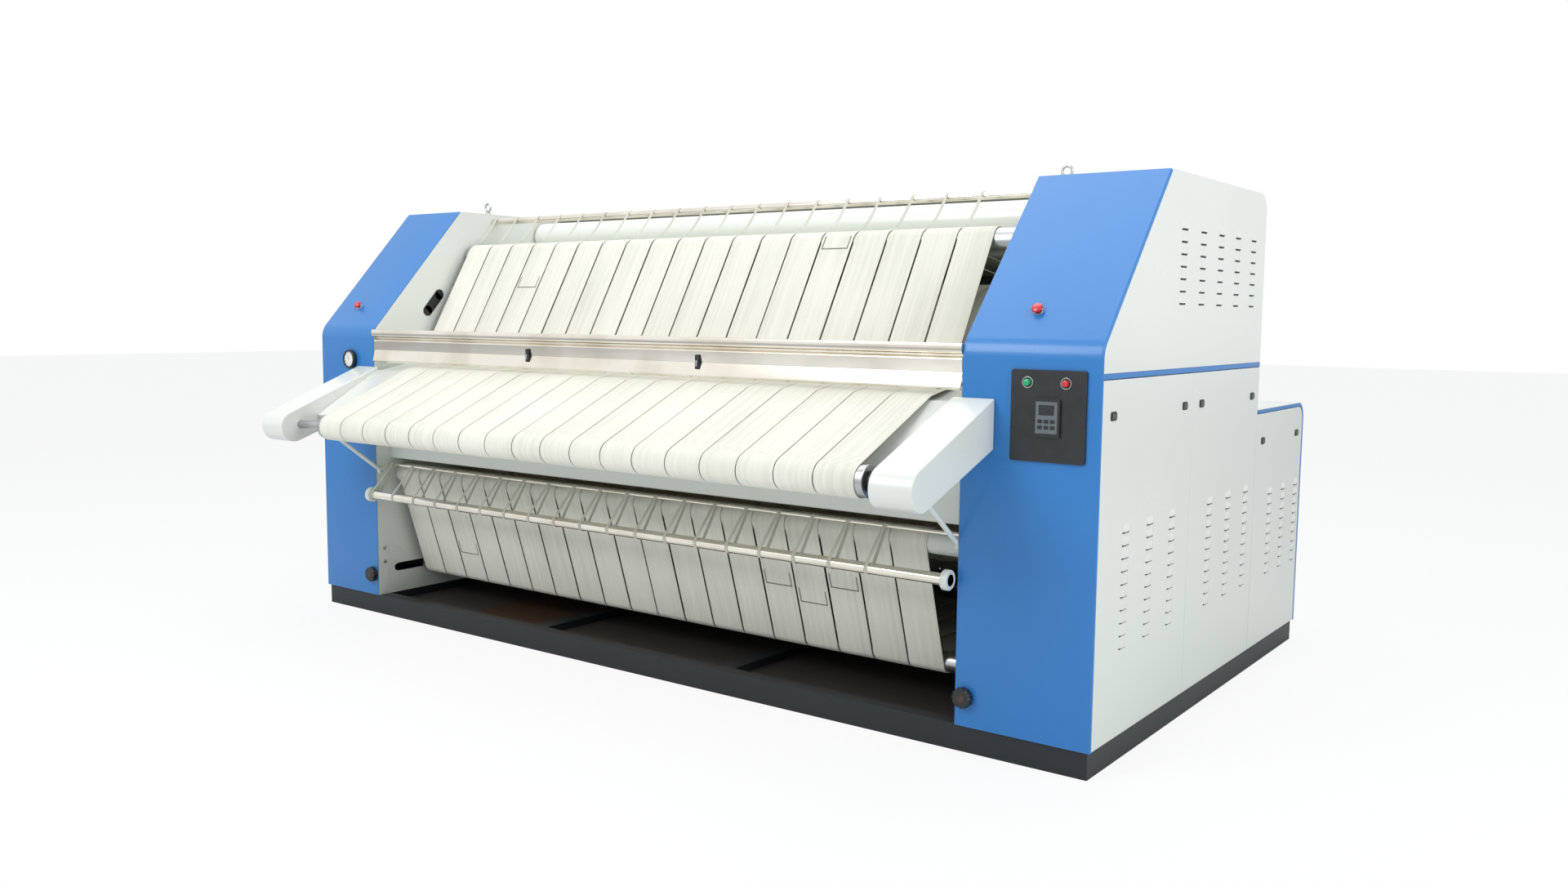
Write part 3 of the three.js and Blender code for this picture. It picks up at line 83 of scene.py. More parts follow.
def add(tree: bpy.types.NodeTree, kind: str, links: dict | None = None, **settings) -> bpy.types.Node:
    """Adds one node.

    Args:
        tree: the node tree.
        kind: the node's type name.
        links: input name or number to a value or an output socket.
        settings: attributes of the node.

    Returns:
        The new node.
    """
    node = tree.nodes.new(kind)
    for name, value in settings.items():
        setattr(node, name, value)
    for key, value in (links or {}).items():
        if isinstance(value, bpy.types.NodeSocket):
            tree.links.new(value, node.inputs[key])
        else:
            node.inputs[key].default_value = value
    return node


# ------------------------------------------------------------------ finishes
class Pattern(Enum):
    """How the surface was made."""

    COATED = "powder coated"
    WOVEN = "woven"
    BRUSHED = "brushed"
    CAST = "cast"
    MOULDED = "moulded"


@dataclass(frozen=True)
class Finish:
    """One real surface: what it is, how it was made and what that gives the eye."""

    name: str
    slot: str
    colour: str
    # second colour that the tint mixes in: on the white and blue powder coats a darker copy laid on towards the
    # floor as painted shade, with dust; on the other finishes scorch, smears, grit and marks
    shade: str
    pattern: Pattern
    roughness: float
    metallic: float = 0.0
    coat: float = 0.0
    grain_mm: float = 6.0
    bump: float = 0.05

    def build(self) -> bpy.types.Material:
        """Makes the node material.

        Returns:
            The material, made once for each finish.
        """
        known = bpy.data.materials.get(self.name)
        if known:
            return known
        material = bpy.data.materials.new(self.name)
        material.use_nodes = True
        tree = material.node_tree
        shader = tree.nodes["Principled BSDF"]
        shader.inputs["Metallic"].default_value = self.metallic
        shader.inputs["Coat Weight"].default_value = self.coat
        shader.inputs["Coat Roughness"].default_value = 0.12
        coords = add(tree, "ShaderNodeTexCoord")
        tint, rough, height = getattr(self, self.pattern.name.lower())(tree, coords)
        # own colour mixed with the second colour; on the white and blue coats that mix is partly painted shade
        colour = add(
            tree, "ShaderNodeMix",
            {0: tint, 6: linear(self.colour), 7: linear(self.shade)}, data_type="RGBA",
        )
        tree.links.new(colour.outputs[2], shader.inputs["Base Color"])
        tree.links.new(rough, shader.inputs["Roughness"])
        depth = self.grain_mm * MM
        bump = add(tree, "ShaderNodeBump", {"Height": height, "Strength": self.bump, "Distance": depth})
        tree.links.new(bump.outputs["Normal"], shader.inputs["Normal"])
        return material

    def spread(self, tree: bpy.types.NodeTree, value, low: float, high: float):
        """Maps a 0 to 1 texture value onto a narrow band round the finish's roughness."""
        node = add(tree, "ShaderNodeMapRange", {0: value, 3: low, 4: high})
        return node.outputs[0]

    def coated(self, tree: bpy.types.NodeTree, coords: bpy.types.Node) -> tuple:
        """Powder coat: orange peel, drawn coarser than the real 2 mm so that it shows, soft dust, and a shift
        towards the second colour from 1.3 m down to the floor, painted shade on the white and blue coats.
        """
        where = coords.outputs["Object"]
        scale = 1 / (self.grain_mm * MM)
        peel = add(tree, "ShaderNodeTexNoise", {"Vector": where, "Scale": scale, "Detail": 2.0})
        cloud = add(tree, "ShaderNodeTexNoise", {"Vector": where, "Scale": 1.6, "Detail": 3.0})
        height = add(tree, "ShaderNodeSeparateXYZ", {0: where})
        # painted shade on the white and blue coats: from 1.3 m down to the floor the colour shifts, up to 55 %,
        # towards the second colour
        low = add(tree, "ShaderNodeMapRange", {0: height.outputs[2], 1: 1.3, 2: 0.05, 3: 0.0, 4: 0.55})
        dust = add(tree, "ShaderNodeMath", {0: cloud.outputs[0], 1: 0.35}, operation="MULTIPLY")
        # tint: dust plus the painted shade towards the floor
        tint = add(tree, "ShaderNodeMath", {0: low.outputs[0], 1: dust.outputs[0]}, use_clamp=True)
        rough = self.spread(tree, cloud.outputs[0], self.roughness - 0.05, self.roughness + 0.07)
        return tint.outputs[0], rough, peel.outputs[0]

    def woven(self, tree: bpy.types.NodeTree, coords: bpy.types.Node) -> tuple:
        """Belt cloth: warp and weft waves on the belt's own map, scorched patches and streaks along the belt."""
        where = coords.outputs["UV"]
        scale = 1 / (self.grain_mm * MM)
        warp = add(
            tree, "ShaderNodeTexWave", {"Vector": where, "Scale": scale / 6.28, "Distortion": 0.6},
            wave_type="BANDS", bands_direction="X",
        )
        weft = add(
            tree, "ShaderNodeTexWave", {"Vector": where, "Scale": scale / 6.28, "Distortion": 0.6},
            wave_type="BANDS", bands_direction="Y",
        )
        weave = add(tree, "ShaderNodeMath", {0: warp.outputs[1], 1: weft.outputs[1]}, operation="MULTIPLY")
        place = coords.outputs["Object"]
        patch = add(tree, "ShaderNodeTexNoise", {"Vector": place, "Scale": 2.4, "Detail": 5.0})
        streak_map = add(tree, "ShaderNodeMapping", {"Vector": where, "Scale": (60.0, 1.5, 1.0)})
        lines = streak_map.outputs[0]
        streak = add(tree, "ShaderNodeTexNoise", {"Vector": lines, "Scale": 1.0, "Detail": 3.0})
        both = add(tree, "ShaderNodeMath", {0: patch.outputs[0], 1: streak.outputs[0]}, operation="MULTIPLY")
        tint = add(tree, "ShaderNodeMapRange", {0: both.outputs[0], 1: 0.16, 2: 0.42, 3: 0.0, 4: 0.85})
        rough = self.spread(tree, weave.outputs[0], self.roughness, 1.0)
        return tint.outputs[0], rough, weave.outputs[0]

    def brushed(self, tree: bpy.types.NodeTree, coords: bpy.types.Node) -> tuple:
        """Turned or polished steel: fine lines round the axis and a few dull smears."""
        place = coords.outputs["Object"]
        where = add(tree, "ShaderNodeMapping", {"Vector": place, "Scale": (4.0, 90.0, 90.0)})
        line = add(tree, "ShaderNodeTexNoise", {"Vector": where.outputs[0], "Scale": 1.0, "Detail": 4.0})
        smear = add(tree, "ShaderNodeTexNoise", {"Vector": place, "Scale": 5.0, "Detail": 2.0})
        tint = add(tree, "ShaderNodeMapRange", {0: smear.outputs[0], 1: 0.4, 2: 0.75, 3: 0.0, 4: 0.8})
        rough = self.spread(tree, smear.outputs[0], self.roughness - 0.06, self.roughness + 0.1)
        return tint.outputs[0], rough, line.outputs[0]

    def cast(self, tree: bpy.types.NodeTree, coords: bpy.types.Node) -> tuple:
        """Sand casting: grit about as coarse as it looks, with the tone following the grit."""
        where = coords.outputs["Object"]
        scale = 1 / (self.grain_mm * MM)
        grit = add(tree, "ShaderNodeTexNoise", {"Vector": where, "Scale": scale, "Detail": 6.0})
        rough = self.spread(tree, grit.outputs[0], self.roughness - 0.1, self.roughness + 0.1)
        return grit.outputs[0], rough, grit.outputs[0]

    def moulded(self, tree: bpy.types.NodeTree, coords: bpy.types.Node) -> tuple:
        """Moulded plastic: a fine spark-eroded texture and light finger marks."""
        where = coords.outputs["Object"]
        spark = add(tree, "ShaderNodeTexVoronoi", {"Vector": where, "Scale": 1 / (self.grain_mm * MM)})
        marks = add(tree, "ShaderNodeTexNoise", {"Vector": where, "Scale": 30.0, "Detail": 2.0})
        rough = self.spread(tree, marks.outputs[0], self.roughness - 0.06, self.roughness + 0.08)
        return marks.outputs[0], rough, spark.outputs[0]


# On the blue and white coats the second colour is a darker copy of the paint, laid on towards the floor as painted
# shade.
BLUE = Finish("sky_blue_powder_coat", "blue_paint", "2379c2", "2070b4", Pattern.COATED, 0.36, coat=0.25)
WHITE = Finish("gloss_white_powder_coat", "white_paint", "e4e8e3", "cdd5cc", Pattern.COATED, 0.28, coat=0.35)
BLACK = Finish("black_base_paint", "black_paint", "0f1315", "1c2124", Pattern.COATED, 0.45)
PAN = Finish("dark_floor_pan_paint", "pan_paint", "23292d", "35302a", Pattern.COATED, 0.5, grain_mm=9)
CLOTH = Finish("ironing_belt_cloth", "belt_cloth", "e7e6db", "d6d6c9",
               Pattern.WOVEN, 0.85, grain_mm=2.6, bump=0.25)
# Guide tapes: greyer than the belt cloth, painted shade of the gaps between the belts that they run in
SHADED_TAPE = Finish("guide_tape_painted_shade", "belt_cloth", "cfcec1", "adaea1",
              Pattern.WOVEN, 0.8, grain_mm=2.0, bump=0.2)
THREAD = Finish("seam_thread", "belt_cloth", "8f8f80", "6a6a5e", Pattern.WOVEN, 0.9, grain_mm=2.0, bump=0.3)
POLISHED = Finish("polished_stainless", "polished_steel", "efeadf", "d3cbbb",
                  Pattern.BRUSHED, 0.16, 1.0, bump=0.02)
TURNED = Finish("turned_steel", "machined_steel", "b9bdbd", "8b9092", Pattern.BRUSHED, 0.3, 1.0, bump=0.05)
IRON = Finish("oiled_cast_iron", "cast_iron", "3b4145", "262a2d",
              Pattern.CAST, 0.6, 0.5, grain_mm=4, bump=0.3)
PLASTIC = Finish("black_moulded_plastic", "black_plastic", "15181a", "24282b",
                 Pattern.MOULDED, 0.38, grain_mm=1.2)
GREEN = Finish("green_button_plastic", "green_plastic", "1db574", "17a066", Pattern.MOULDED, 0.25, coat=0.4)
RED = Finish("red_button_plastic", "red_plastic", "dc3038", "b92229", Pattern.MOULDED, 0.25, coat=0.4)
DIAL = Finish("white_gauge_dial", "gauge_white", "f0f2f0", "dde0dd", Pattern.MOULDED, 0.35)
KEYPAD = Finish("grey_keypad_film", "black_plastic", "6f787c", "545c60", Pattern.MOULDED, 0.3)
DISPLAY = Finish("dark_display_window", "black_plastic", "1c2226", "2b3338", Pattern.MOULDED, 0.12, coat=0.6)
MARKING = Finish("grey_dial_marks", "gauge_white", "3a4044", "4c5357", Pattern.MOULDED, 0.5)
BROWN_PAN = Finish("rust_brown_pan_paint", "pan_paint", "4a3020", "33231a", Pattern.COATED, 0.5, grain_mm=9)
LATCH = Finish("latch_zinc", "machined_steel", "4a5048", "666c64",
               Pattern.CAST, 0.4, 0.7, grain_mm=2, bump=0.1)
NUT = Finish("brown_knob_insert", "black_plastic", "4a3226", "33241c", Pattern.MOULDED, 0.45)


# -------------------------------------------------------------------- meshes
def turned(points: np.ndarray) -> np.ndarray:
    """Moves (x, y, z) millimetres from the front plane into frame metres."""
    moved = np.asarray(points, dtype=float) * MM
    moved[..., 1] += FRONT_FACE_Y
    return moved


def grid_faces(rows: int, columns: int, wrap_rows: bool, wrap_columns: bool) -> np.ndarray:
    """Quads of a grid: vertex number = row * columns + column, each cell one quad."""
    r = np.arange(rows if wrap_rows else rows - 1)
    c = np.arange(columns if wrap_columns else columns - 1)
    rr, cc = np.meshgrid(r, c, indexing="ij")
    r2, c2 = (rr + 1) % rows, (cc + 1) % columns
    cells = np.stack([rr * columns + cc, rr * columns + c2, r2 * columns + c2, r2 * columns + cc], axis=-1)
    return cells.reshape(-1, 4)


def tube_faces(rows: int, columns: int) -> list[list[int]]:
    """Faces of a closed tube: the grid's quads with a cap on its first and last row."""
    caps = [list(range(columns)), list(range((rows - 1) * columns, rows * columns))]
    return grid_faces(rows, columns, False, True).tolist() + caps


@dataclass
class Part:
    """Gathers surfaces and makes them one object."""

    name: str
    finishes: list[Finish]
    verts: list[np.ndarray] = field(default_factory=list)
    faces: list[list[int]] = field(default_factory=list)
    kinds: list[int] = field(default_factory=list)
    maps: list[np.ndarray] = field(default_factory=list)
    count: int = 0

    def put(self, points: np.ndarray, faces: list, kind: int = 0, uv: np.ndarray | None = None) -> None:
        """Adds vertices in frame metres with their faces.

        Args:
            points: (n, 3) places.
            faces: lists of vertex numbers.
            kind: index of the finish.
            uv: (n, 2) map in metres, or none.
        """
        flat = points.reshape(-1, 3)
        self.verts.append(flat)
        self.maps.append(flat[:, :2] if uv is None else uv.reshape(-1, 2))
        self.faces.extend([[i + self.count for i in face] for face in faces])
        self.kinds.extend([kind] * len(faces))
        self.count += len(flat)

    def sweep(self, line: np.ndarray, section: np.ndarray, kind: int = 0, closed: bool = False) -> None:
        """Carries a closed (x, depth) section along a (y, z) line, depth measured to the right of travel.

        Args:
            line: (n, 2) millimetres.
            section: (m, 2) millimetres, x and depth.
            kind: index of the finish.
            closed: whether the line runs round to its start.
        """
        after = np.roll(line, -1, axis=0) - line
        before = line - np.roll(line, 1, axis=0)
        if not closed:
            after[-1], before[0] = before[-1], after[0]
        a = after / np.linalg.norm(after, axis=1, keepdims=True)
        b = before / np.linalg.norm(before, axis=1, keepdims=True)
        mean = a + b
        mean /= np.linalg.norm(mean, axis=1, keepdims=True)
        right = np.stack([mean[:, 1], -mean[:, 0]], axis=1) / np.sum(mean * a, axis=1, keepdims=True)
        steps = np.concatenate([[0.0], np.cumsum(np.linalg.norm(np.diff(line, axis=0), axis=1))])
        yz = line[:, None, :] + right[:, None, :] * section[None, :, 1:2]
        x = np.broadcast_to(section[None, :, 0:1], yz.shape[:2] + (1,))
        points = turned(np.concatenate([x, yz], axis=2))
        v = np.broadcast_to(steps[:, None], yz.shape[:2])
        uv = np.stack([x[..., 0] * MM, v * MM], axis=-1)
        rows, columns = yz.shape[:2]
        faces = grid_faces(rows, columns, True, True).tolist() if closed else tube_faces(rows, columns)
        self.put(points, faces, kind, uv)

    def prism(self, outline: np.ndarray, x0: float, x1: float, kind: int = 0) -> None:
        """Carries a closed (y, z) outline between two places along X, all in millimetres."""
        ring = np.array([[[x, y, z] for y, z in outline] for x in (x0, x1)])
        self.put(turned(ring), tube_faces(2, len(outline)), kind)

    def lathe(self, profile: list, centre: tuple, axis: tuple, kind: int = 0, sides: int = 64) -> None:
        """Turns (along, radius) millimetre pairs about an axis through a centre in millimetres.

        Args:
            profile: pairs from end to end; one that ends where it starts makes a ring.
            centre: (x, y, z) millimetres from the front plane.
            axis: direction of "along".
            kind: index of the finish.
            sides: steps round the axis.
        """
        direction = Vector(axis).normalized()
        helper = Vector((0, 0, 1)) if abs(direction.z) < 0.9 else Vector((1, 0, 0))
        e1 = np.array(direction.cross(helper).normalized())
        e2 = np.cross(np.array(direction), e1)
        angle = np.linspace(0, 2 * np.pi, sides, endpoint=False)
        around = np.cos(angle)[:, None] * e1 + np.sin(angle)[:, None] * e2
        ring = profile[0] == profile[-1]
        along, radius = np.array(profile[:-1] if ring else profile, dtype=float).T
        points = np.array(centre) + along[:, None, None] * np.array(direction)
        points = points + radius[:, None, None] * around[None]
        rows = len(along)
        faces = grid_faces(rows, sides, True, True).tolist() if ring else tube_faces(rows, sides)
        self.put(turned(points), faces, kind)

    def rod(self, x0: float, x1: float, radius: float, y: float, z: float,
            kind: int = 0, sides: int = 64) -> None:
        """A plain round bar along X at (y, z), all in millimetres."""
        self.lathe([(x0, 0), (x0, radius), (x1, radius), (x1, 0)], (0, y, z), (1, 0, 0), kind, sides)

    def make(self, body: str, replaces: tuple = (), bevel: float = 0.0,
             angle: float = 32.0) -> bpy.types.Object:
        """Makes the object, closes its seams and poles and lets it ride on a body.

        Args:
            body: the CAD body it moves with.
            replaces: CAD nodes it stands for.
            bevel: width of the edge rounding, millimetres.
            angle: edges sharper than this stay sharp, degrees.

        Returns:
            The object.
        """
        mesh = bpy.data.meshes.new(self.name)
        mesh.from_pydata(np.concatenate(self.verts), [], self.faces)
        mesh.polygons.foreach_set("material_index", np.array(self.kinds, dtype=np.int32))
        layer = mesh.uv_layers.new(name="map")
        loops = np.empty(len(mesh.loops), dtype=np.int32)
        mesh.loops.foreach_get("vertex_index", loops)
        layer.data.foreach_set("uv", np.concatenate(self.maps)[loops].astype(np.float32).ravel())
        work = bmesh.new()
        work.from_mesh(mesh)
        bmesh.ops.remove_doubles(work, verts=work.verts, dist=1e-6)
        bmesh.ops.dissolve_degenerate(work, dist=1e-7, edges=work.edges)
        bmesh.ops.recalc_face_normals(work, faces=work.faces)
        work.to_mesh(mesh)
        work.free()
        mesh.polygons.foreach_set("use_smooth", np.ones(len(mesh.polygons), dtype=bool))
        mesh.set_sharp_from_angle(angle=math.radians(angle))
        thing = bpy.data.objects.new(self.name, mesh)
        bpy.context.scene.collection.objects.link(thing)
        for finish in self.finishes:
            mesh.materials.append(finish.build())
        if bevel:
            rounding = thing.modifiers.new("edges", "BEVEL")
            rounding.width = bevel * MM
            rounding.segments = 3
            rounding.limit_method = "ANGLE"
            rounding.angle_limit = math.radians(40)
            rounding.harden_normals = True
        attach(thing, body)
        if replaces:
            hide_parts(*replaces)
        LOG.info("%s: %d faces on %s", self.name, len(mesh.polygons), body)
        return thing


def rounded(corners: list, radii: list, steps: int = 12, closed: bool = False) -> np.ndarray:
    """Rounds the corners of a (y, z) line: each corner becomes an arc tangent to both sides.

    Args:
        corners: points in millimetres.
        radii: one for each corner, 0 keeps it sharp.
        steps: pieces in an arc.
        closed: whether the last corner joins the first.

    Returns:
        (n, 2) points.
    """
    result = []
    total = len(corners)
    for i, (corner, radius) in enumerate(zip(corners, radii)):
        here = np.array(corner, dtype=float)
        if radius <= 0 or (not closed and i in (0, total - 1)):
            result.append(here)
            continue
        one = np.array(corners[i - 1], dtype=float) - here
        two = np.array(corners[(i + 1) % total], dtype=float) - here
        one, two = one / np.linalg.norm(one), two / np.linalg.norm(two)
        half = math.acos(max(-1.0, min(1.0, float(one @ two)))) / 2
        middle = (one + two) / np.linalg.norm(one + two)
        centre = here + middle * radius / math.sin(half)
        start = here + one * radius / math.tan(half) - centre
        end = here + two * radius / math.tan(half) - centre
        turn = math.atan2(start[0] * end[1] - start[1] * end[0], float(start @ end))
        for k in range(steps + 1):
            c, s = math.cos(turn * k / steps), math.sin(turn * k / steps)
            result.append(centre + np.array([c * start[0] - s * start[1], s * start[0] + c * start[1]]))
    return np.array(result)


def circle(y: float, z: float, radius: float, sides: int = 40) -> np.ndarray:
    """Points of a circle in the (y, z) plane."""
    angle = np.linspace(0, 2 * np.pi, sides, endpoint=False)
    return np.stack([y + radius * np.cos(angle), z + radius * np.sin(angle)], axis=1)


def box_outline(y0: float, y1: float, z0: float, z1: float, radius: float = 0.0) -> np.ndarray:
    """A rectangle in the (y, z) plane with rounded corners."""
    return rounded([(y0, z0), (y1, z0), (y1, z1), (y0, z1)], [radius] * 4, 5, closed=True)


# --------------------------------------------------------------------- belts
@dataclass(frozen=True)
class Wheel:
    """A round thing that a belt runs over: +1 turns anti-clockwise seen from +X."""

    y: float
    z: float
    radius: float
    spin: int


def belt_line(wheels: list[Wheel], thickness: float, step: float = 5.0) -> np.ndarray:
    """Middle line of a belt: arcs on the wheels joined by their common tangents.

    The heading between two wheels is the direction of their centres plus the
    arcsine of the difference of their signed reaches over the distance.

    Args:
        wheels: in order of travel.
        thickness: of the belt.
        step: degrees in an arc.

    Returns:
        (n, 2) closed line in millimetres, with the straights divided too.
    """
    count = len(wheels)
    reach = [w.radius + 1.0 + thickness / 2 for w in wheels]
    headings = []
    for i, one in enumerate(wheels):
        two = wheels[(i + 1) % count]
        dy, dz = two.y - one.y, two.z - one.z
        lean = math.asin((one.spin * reach[i] - two.spin * reach[(i + 1) % count]) / math.hypot(dy, dz))
        headings.append(math.atan2(dz, dy) + lean)
    arcs = []
    for i, wheel in enumerate(wheels):
        arriving = headings[i - 1]
        turn = (headings[i] - arriving) * wheel.spin % (2 * math.pi) * wheel.spin
        start = arriving - wheel.spin * math.pi / 2
        steps = max(2, math.ceil(abs(math.degrees(turn)) / step))
        angle = start + np.linspace(0, turn, steps + 1)
        y, z = wheel.y + reach[i] * np.cos(angle), wheel.z + reach[i] * np.sin(angle)
        arcs.append(np.stack([y, z], axis=1))
    line = []
    for i, piece in enumerate(arcs):
        line.append(piece)
        following = arcs[(i + 1) % count][0]
        length = np.linalg.norm(following - piece[-1])
        share = np.linspace(0, 1, max(3, int(length / 60)) + 1)[1:-1, None]
        line.append(piece[-1] + (following - piece[-1]) * share)
    return np.concatenate(line)


def strap(part: Part, line: np.ndarray, x: float, width: float, thickness: float, kind: int = 0,
          closed: bool = True, wander: float = 0.0, seed: int = 0) -> None:
    """A flat belt with softly rounded edges: an eight-point section carried along its middle line.

    Args:
        part: where it goes.
        line: (n, 2) middle line, millimetres.
        x: middle of the belt.
        width: across.
        thickness: of the cloth.
        kind: index of the finish.
        closed: endless belt or strip.
        wander: how far its edges drift sideways.
        seed: of the drift.
    """
    half, edge, flat = width / 2, 1.6, thickness / 2
    section = np.array([
        (-half, -flat / 2), (-half + edge, -flat), (half - edge, -flat), (half, -flat / 2),
        (half, flat / 2), (half - edge, flat), (-half + edge, flat), (-half, flat / 2),
    ])
    part.sweep(line, section, kind, closed)
    points = part.verts[-1]
    part.maps[-1] = part.maps[-1] + np.array([0.0, 0.37 * seed])
    rng = np.random.default_rng(seed + 7)
    phase = rng.uniform(0, 2 * np.pi, 2)
    along = np.linspace(0, 2 * np.pi, len(points) // len(section), endpoint=False).repeat(len(section))
    points[:, 0] += x * MM + wander * MM * (np.sin(2 * along + phase[0]) + 0.5 * np.sin(5 * along + phase[1]))


@dataclass
class BeltSystem:
    """Ironing belts round the drum, their rollers and guide tapes."""

    count: int = 19
    pitch: float = 160.5
    gap: float = 9.0
    left: float = BAY_LEFT + 42
    thickness: float = 4.0
    drum_half: float = 1607.0
    head_recess: float = 34.0
    rim_r: float = 540.0
    trunnion_r: float = 70.0
    trunnion_length: float = 286.0
    wheels: tuple = (
        Wheel(945, 1060, 580, -1), Wheel(155, 700, 45, 1), Wheel(298, 222, 38, 1), Wheel(1560, 210, 60, 1),
        Wheel(1560, 1640, 60, 1), Wheel(620, 1800, 55, 1), Wheel(366, 1364, 52, 1),
    )
    bodies: tuple = (
        "drum", "delivery_roller", "tension_roller", "rear_bottom_roller", "rear_top_roller",
        "top_front_roller", "infeed_roller",
    )
    seams: tuple = ((3, 1634), (6, 1578), (14, 1785), (17, 1476), (2, 329), (14, 440), (15, 383), (16, 466))

    def middle(self, index: int) -> float:
        """Middle of one belt along X."""
        return self.left + index * self.pitch + (self.pitch - self.gap) / 2

    def build(self) -> None:
        """Makes cloth, seams, tapes, drum and rollers."""
        line = belt_line(list(self.wheels), self.thickness)
        cloth = Part("ironing_belt_cloths", [CLOTH, SHADED_TAPE, THREAD])
        for index in range(self.count):
            strap(cloth, line, self.middle(index), self.pitch - self.gap, self.thickness, 0, True, 0.9, index)
        drum = self.wheels[0]
        on_drum = np.hypot(line[:, 0] - drum.y, line[:, 1] - drum.z) < drum.radius + self.thickness + 1
        wrap = line[on_drum][2:-2]
        # guide tapes in the gaps over the drum, in the greyer tape finish: painted shade of the gaps between the
        # belts
        for index in range(self.count - 1):
            x = self.left + (index + 1) * self.pitch - self.gap / 2
            strap(cloth, wrap, x, self.gap - 1, self.thickness / 2, 1, False)
        for index, z in self.seams:
            self.seam(cloth, line, index, z)
        cloth.make(ROOT, ("ironing_belts",), angle=50)
        self.rollers()

    def seam(self, cloth: Part, line: np.ndarray, index: int, z: float) -> None:
        """Lap seam of one belt: a thin thread bar on its front, with two short stitches down its sides."""
        front = line[:, 0] < (700 if z > 1000 else 330)
        near = line[front][np.argsort(np.abs(line[front][:, 1] - z))[:2]]
        tangent = (near[1] - near[0]) / np.linalg.norm(near[1] - near[0])
        tangent = tangent * np.sign(tangent[1])
        share = (z - near[0][1]) / (near[1][1] - near[0][1])
        spot = near[0] + (near[1] - near[0]) * share
        outward = np.array([-tangent[1], tangent[0]])
        if outward[0] > 0:
            outward = -outward
        lift = self.thickness / 2 + 0.2
        half = (self.pitch - self.gap) / 2
        for x0, x1, low, high in ((-0.86, 0.86, -2.5, 2.5), (-0.86, -0.80, 0, 60), (0.80, 0.86, 0, 60)):
            base = spot + outward * lift
            ends = [base + tangent * low, base + tangent * high]
            outline = np.array([ends[0], ends[1], ends[1] + outward * 0.8, ends[0] + outward * 0.8])
            middle = self.middle(index)
            cloth.prism(outline, middle + x0 * half, middle + x1 * half, 2)

    def rollers(self) -> None:
        """Smooth rollers in place of the faceted ones, and the drum with its recessed heads."""
        for wheel, body in zip(self.wheels[1:], self.bodies[1:]):
            finish = WHITE if body == "delivery_roller" else TURNED
            self.roller(body, wheel.y, wheel.z, wheel.radius, finish)
        self.roller("guide_roller", 1130, 1925, 79, WHITE)
        half, middle = self.drum_half, (BAY_LEFT + BAY_RIGHT) / 2
        wheel, neck = self.wheels[0], self.trunnion_r
        reach, head = half + self.trunnion_length, half - self.head_recess
        drum = Part("heated_drum", [POLISHED])
        drum.lathe(
            [(-reach, 0), (-reach, neck), (-head, neck), (-head, self.rim_r), (-half, wheel.radius - 2),
             (-half + 2, wheel.radius), (half - 2, wheel.radius), (half, wheel.radius - 2), (head, self.rim_r),
             (head, neck), (reach, neck), (reach, 0)],
            (middle, wheel.y, wheel.z), (1, 0, 0), sides=160,
        )
        drum.make("drum", ("drum",))

    def roller(self, body: str, y: float, z: float, radius: float, finish: Finish) -> None:
        """One turned roller with its journals."""
        left, right = BAY_LEFT + BODY_INSET, BAY_RIGHT - BODY_INSET
        part = Part(body + "_turned", [finish, TURNED])
        part.lathe([(left, 0), (left, radius - 2), (left + 2, radius), (right - 2, radius), (right, radius - 2),
                    (right, 0)], (0, y, z), (1, 0, 0), 0)
        for start, end in ((left - JOURNAL_LENGTH, left), (right, right + JOURNAL_LENGTH)):
            part.rod(start, end, JOURNAL_R, y, z, 1, 32)
        part.make(body, (body,))


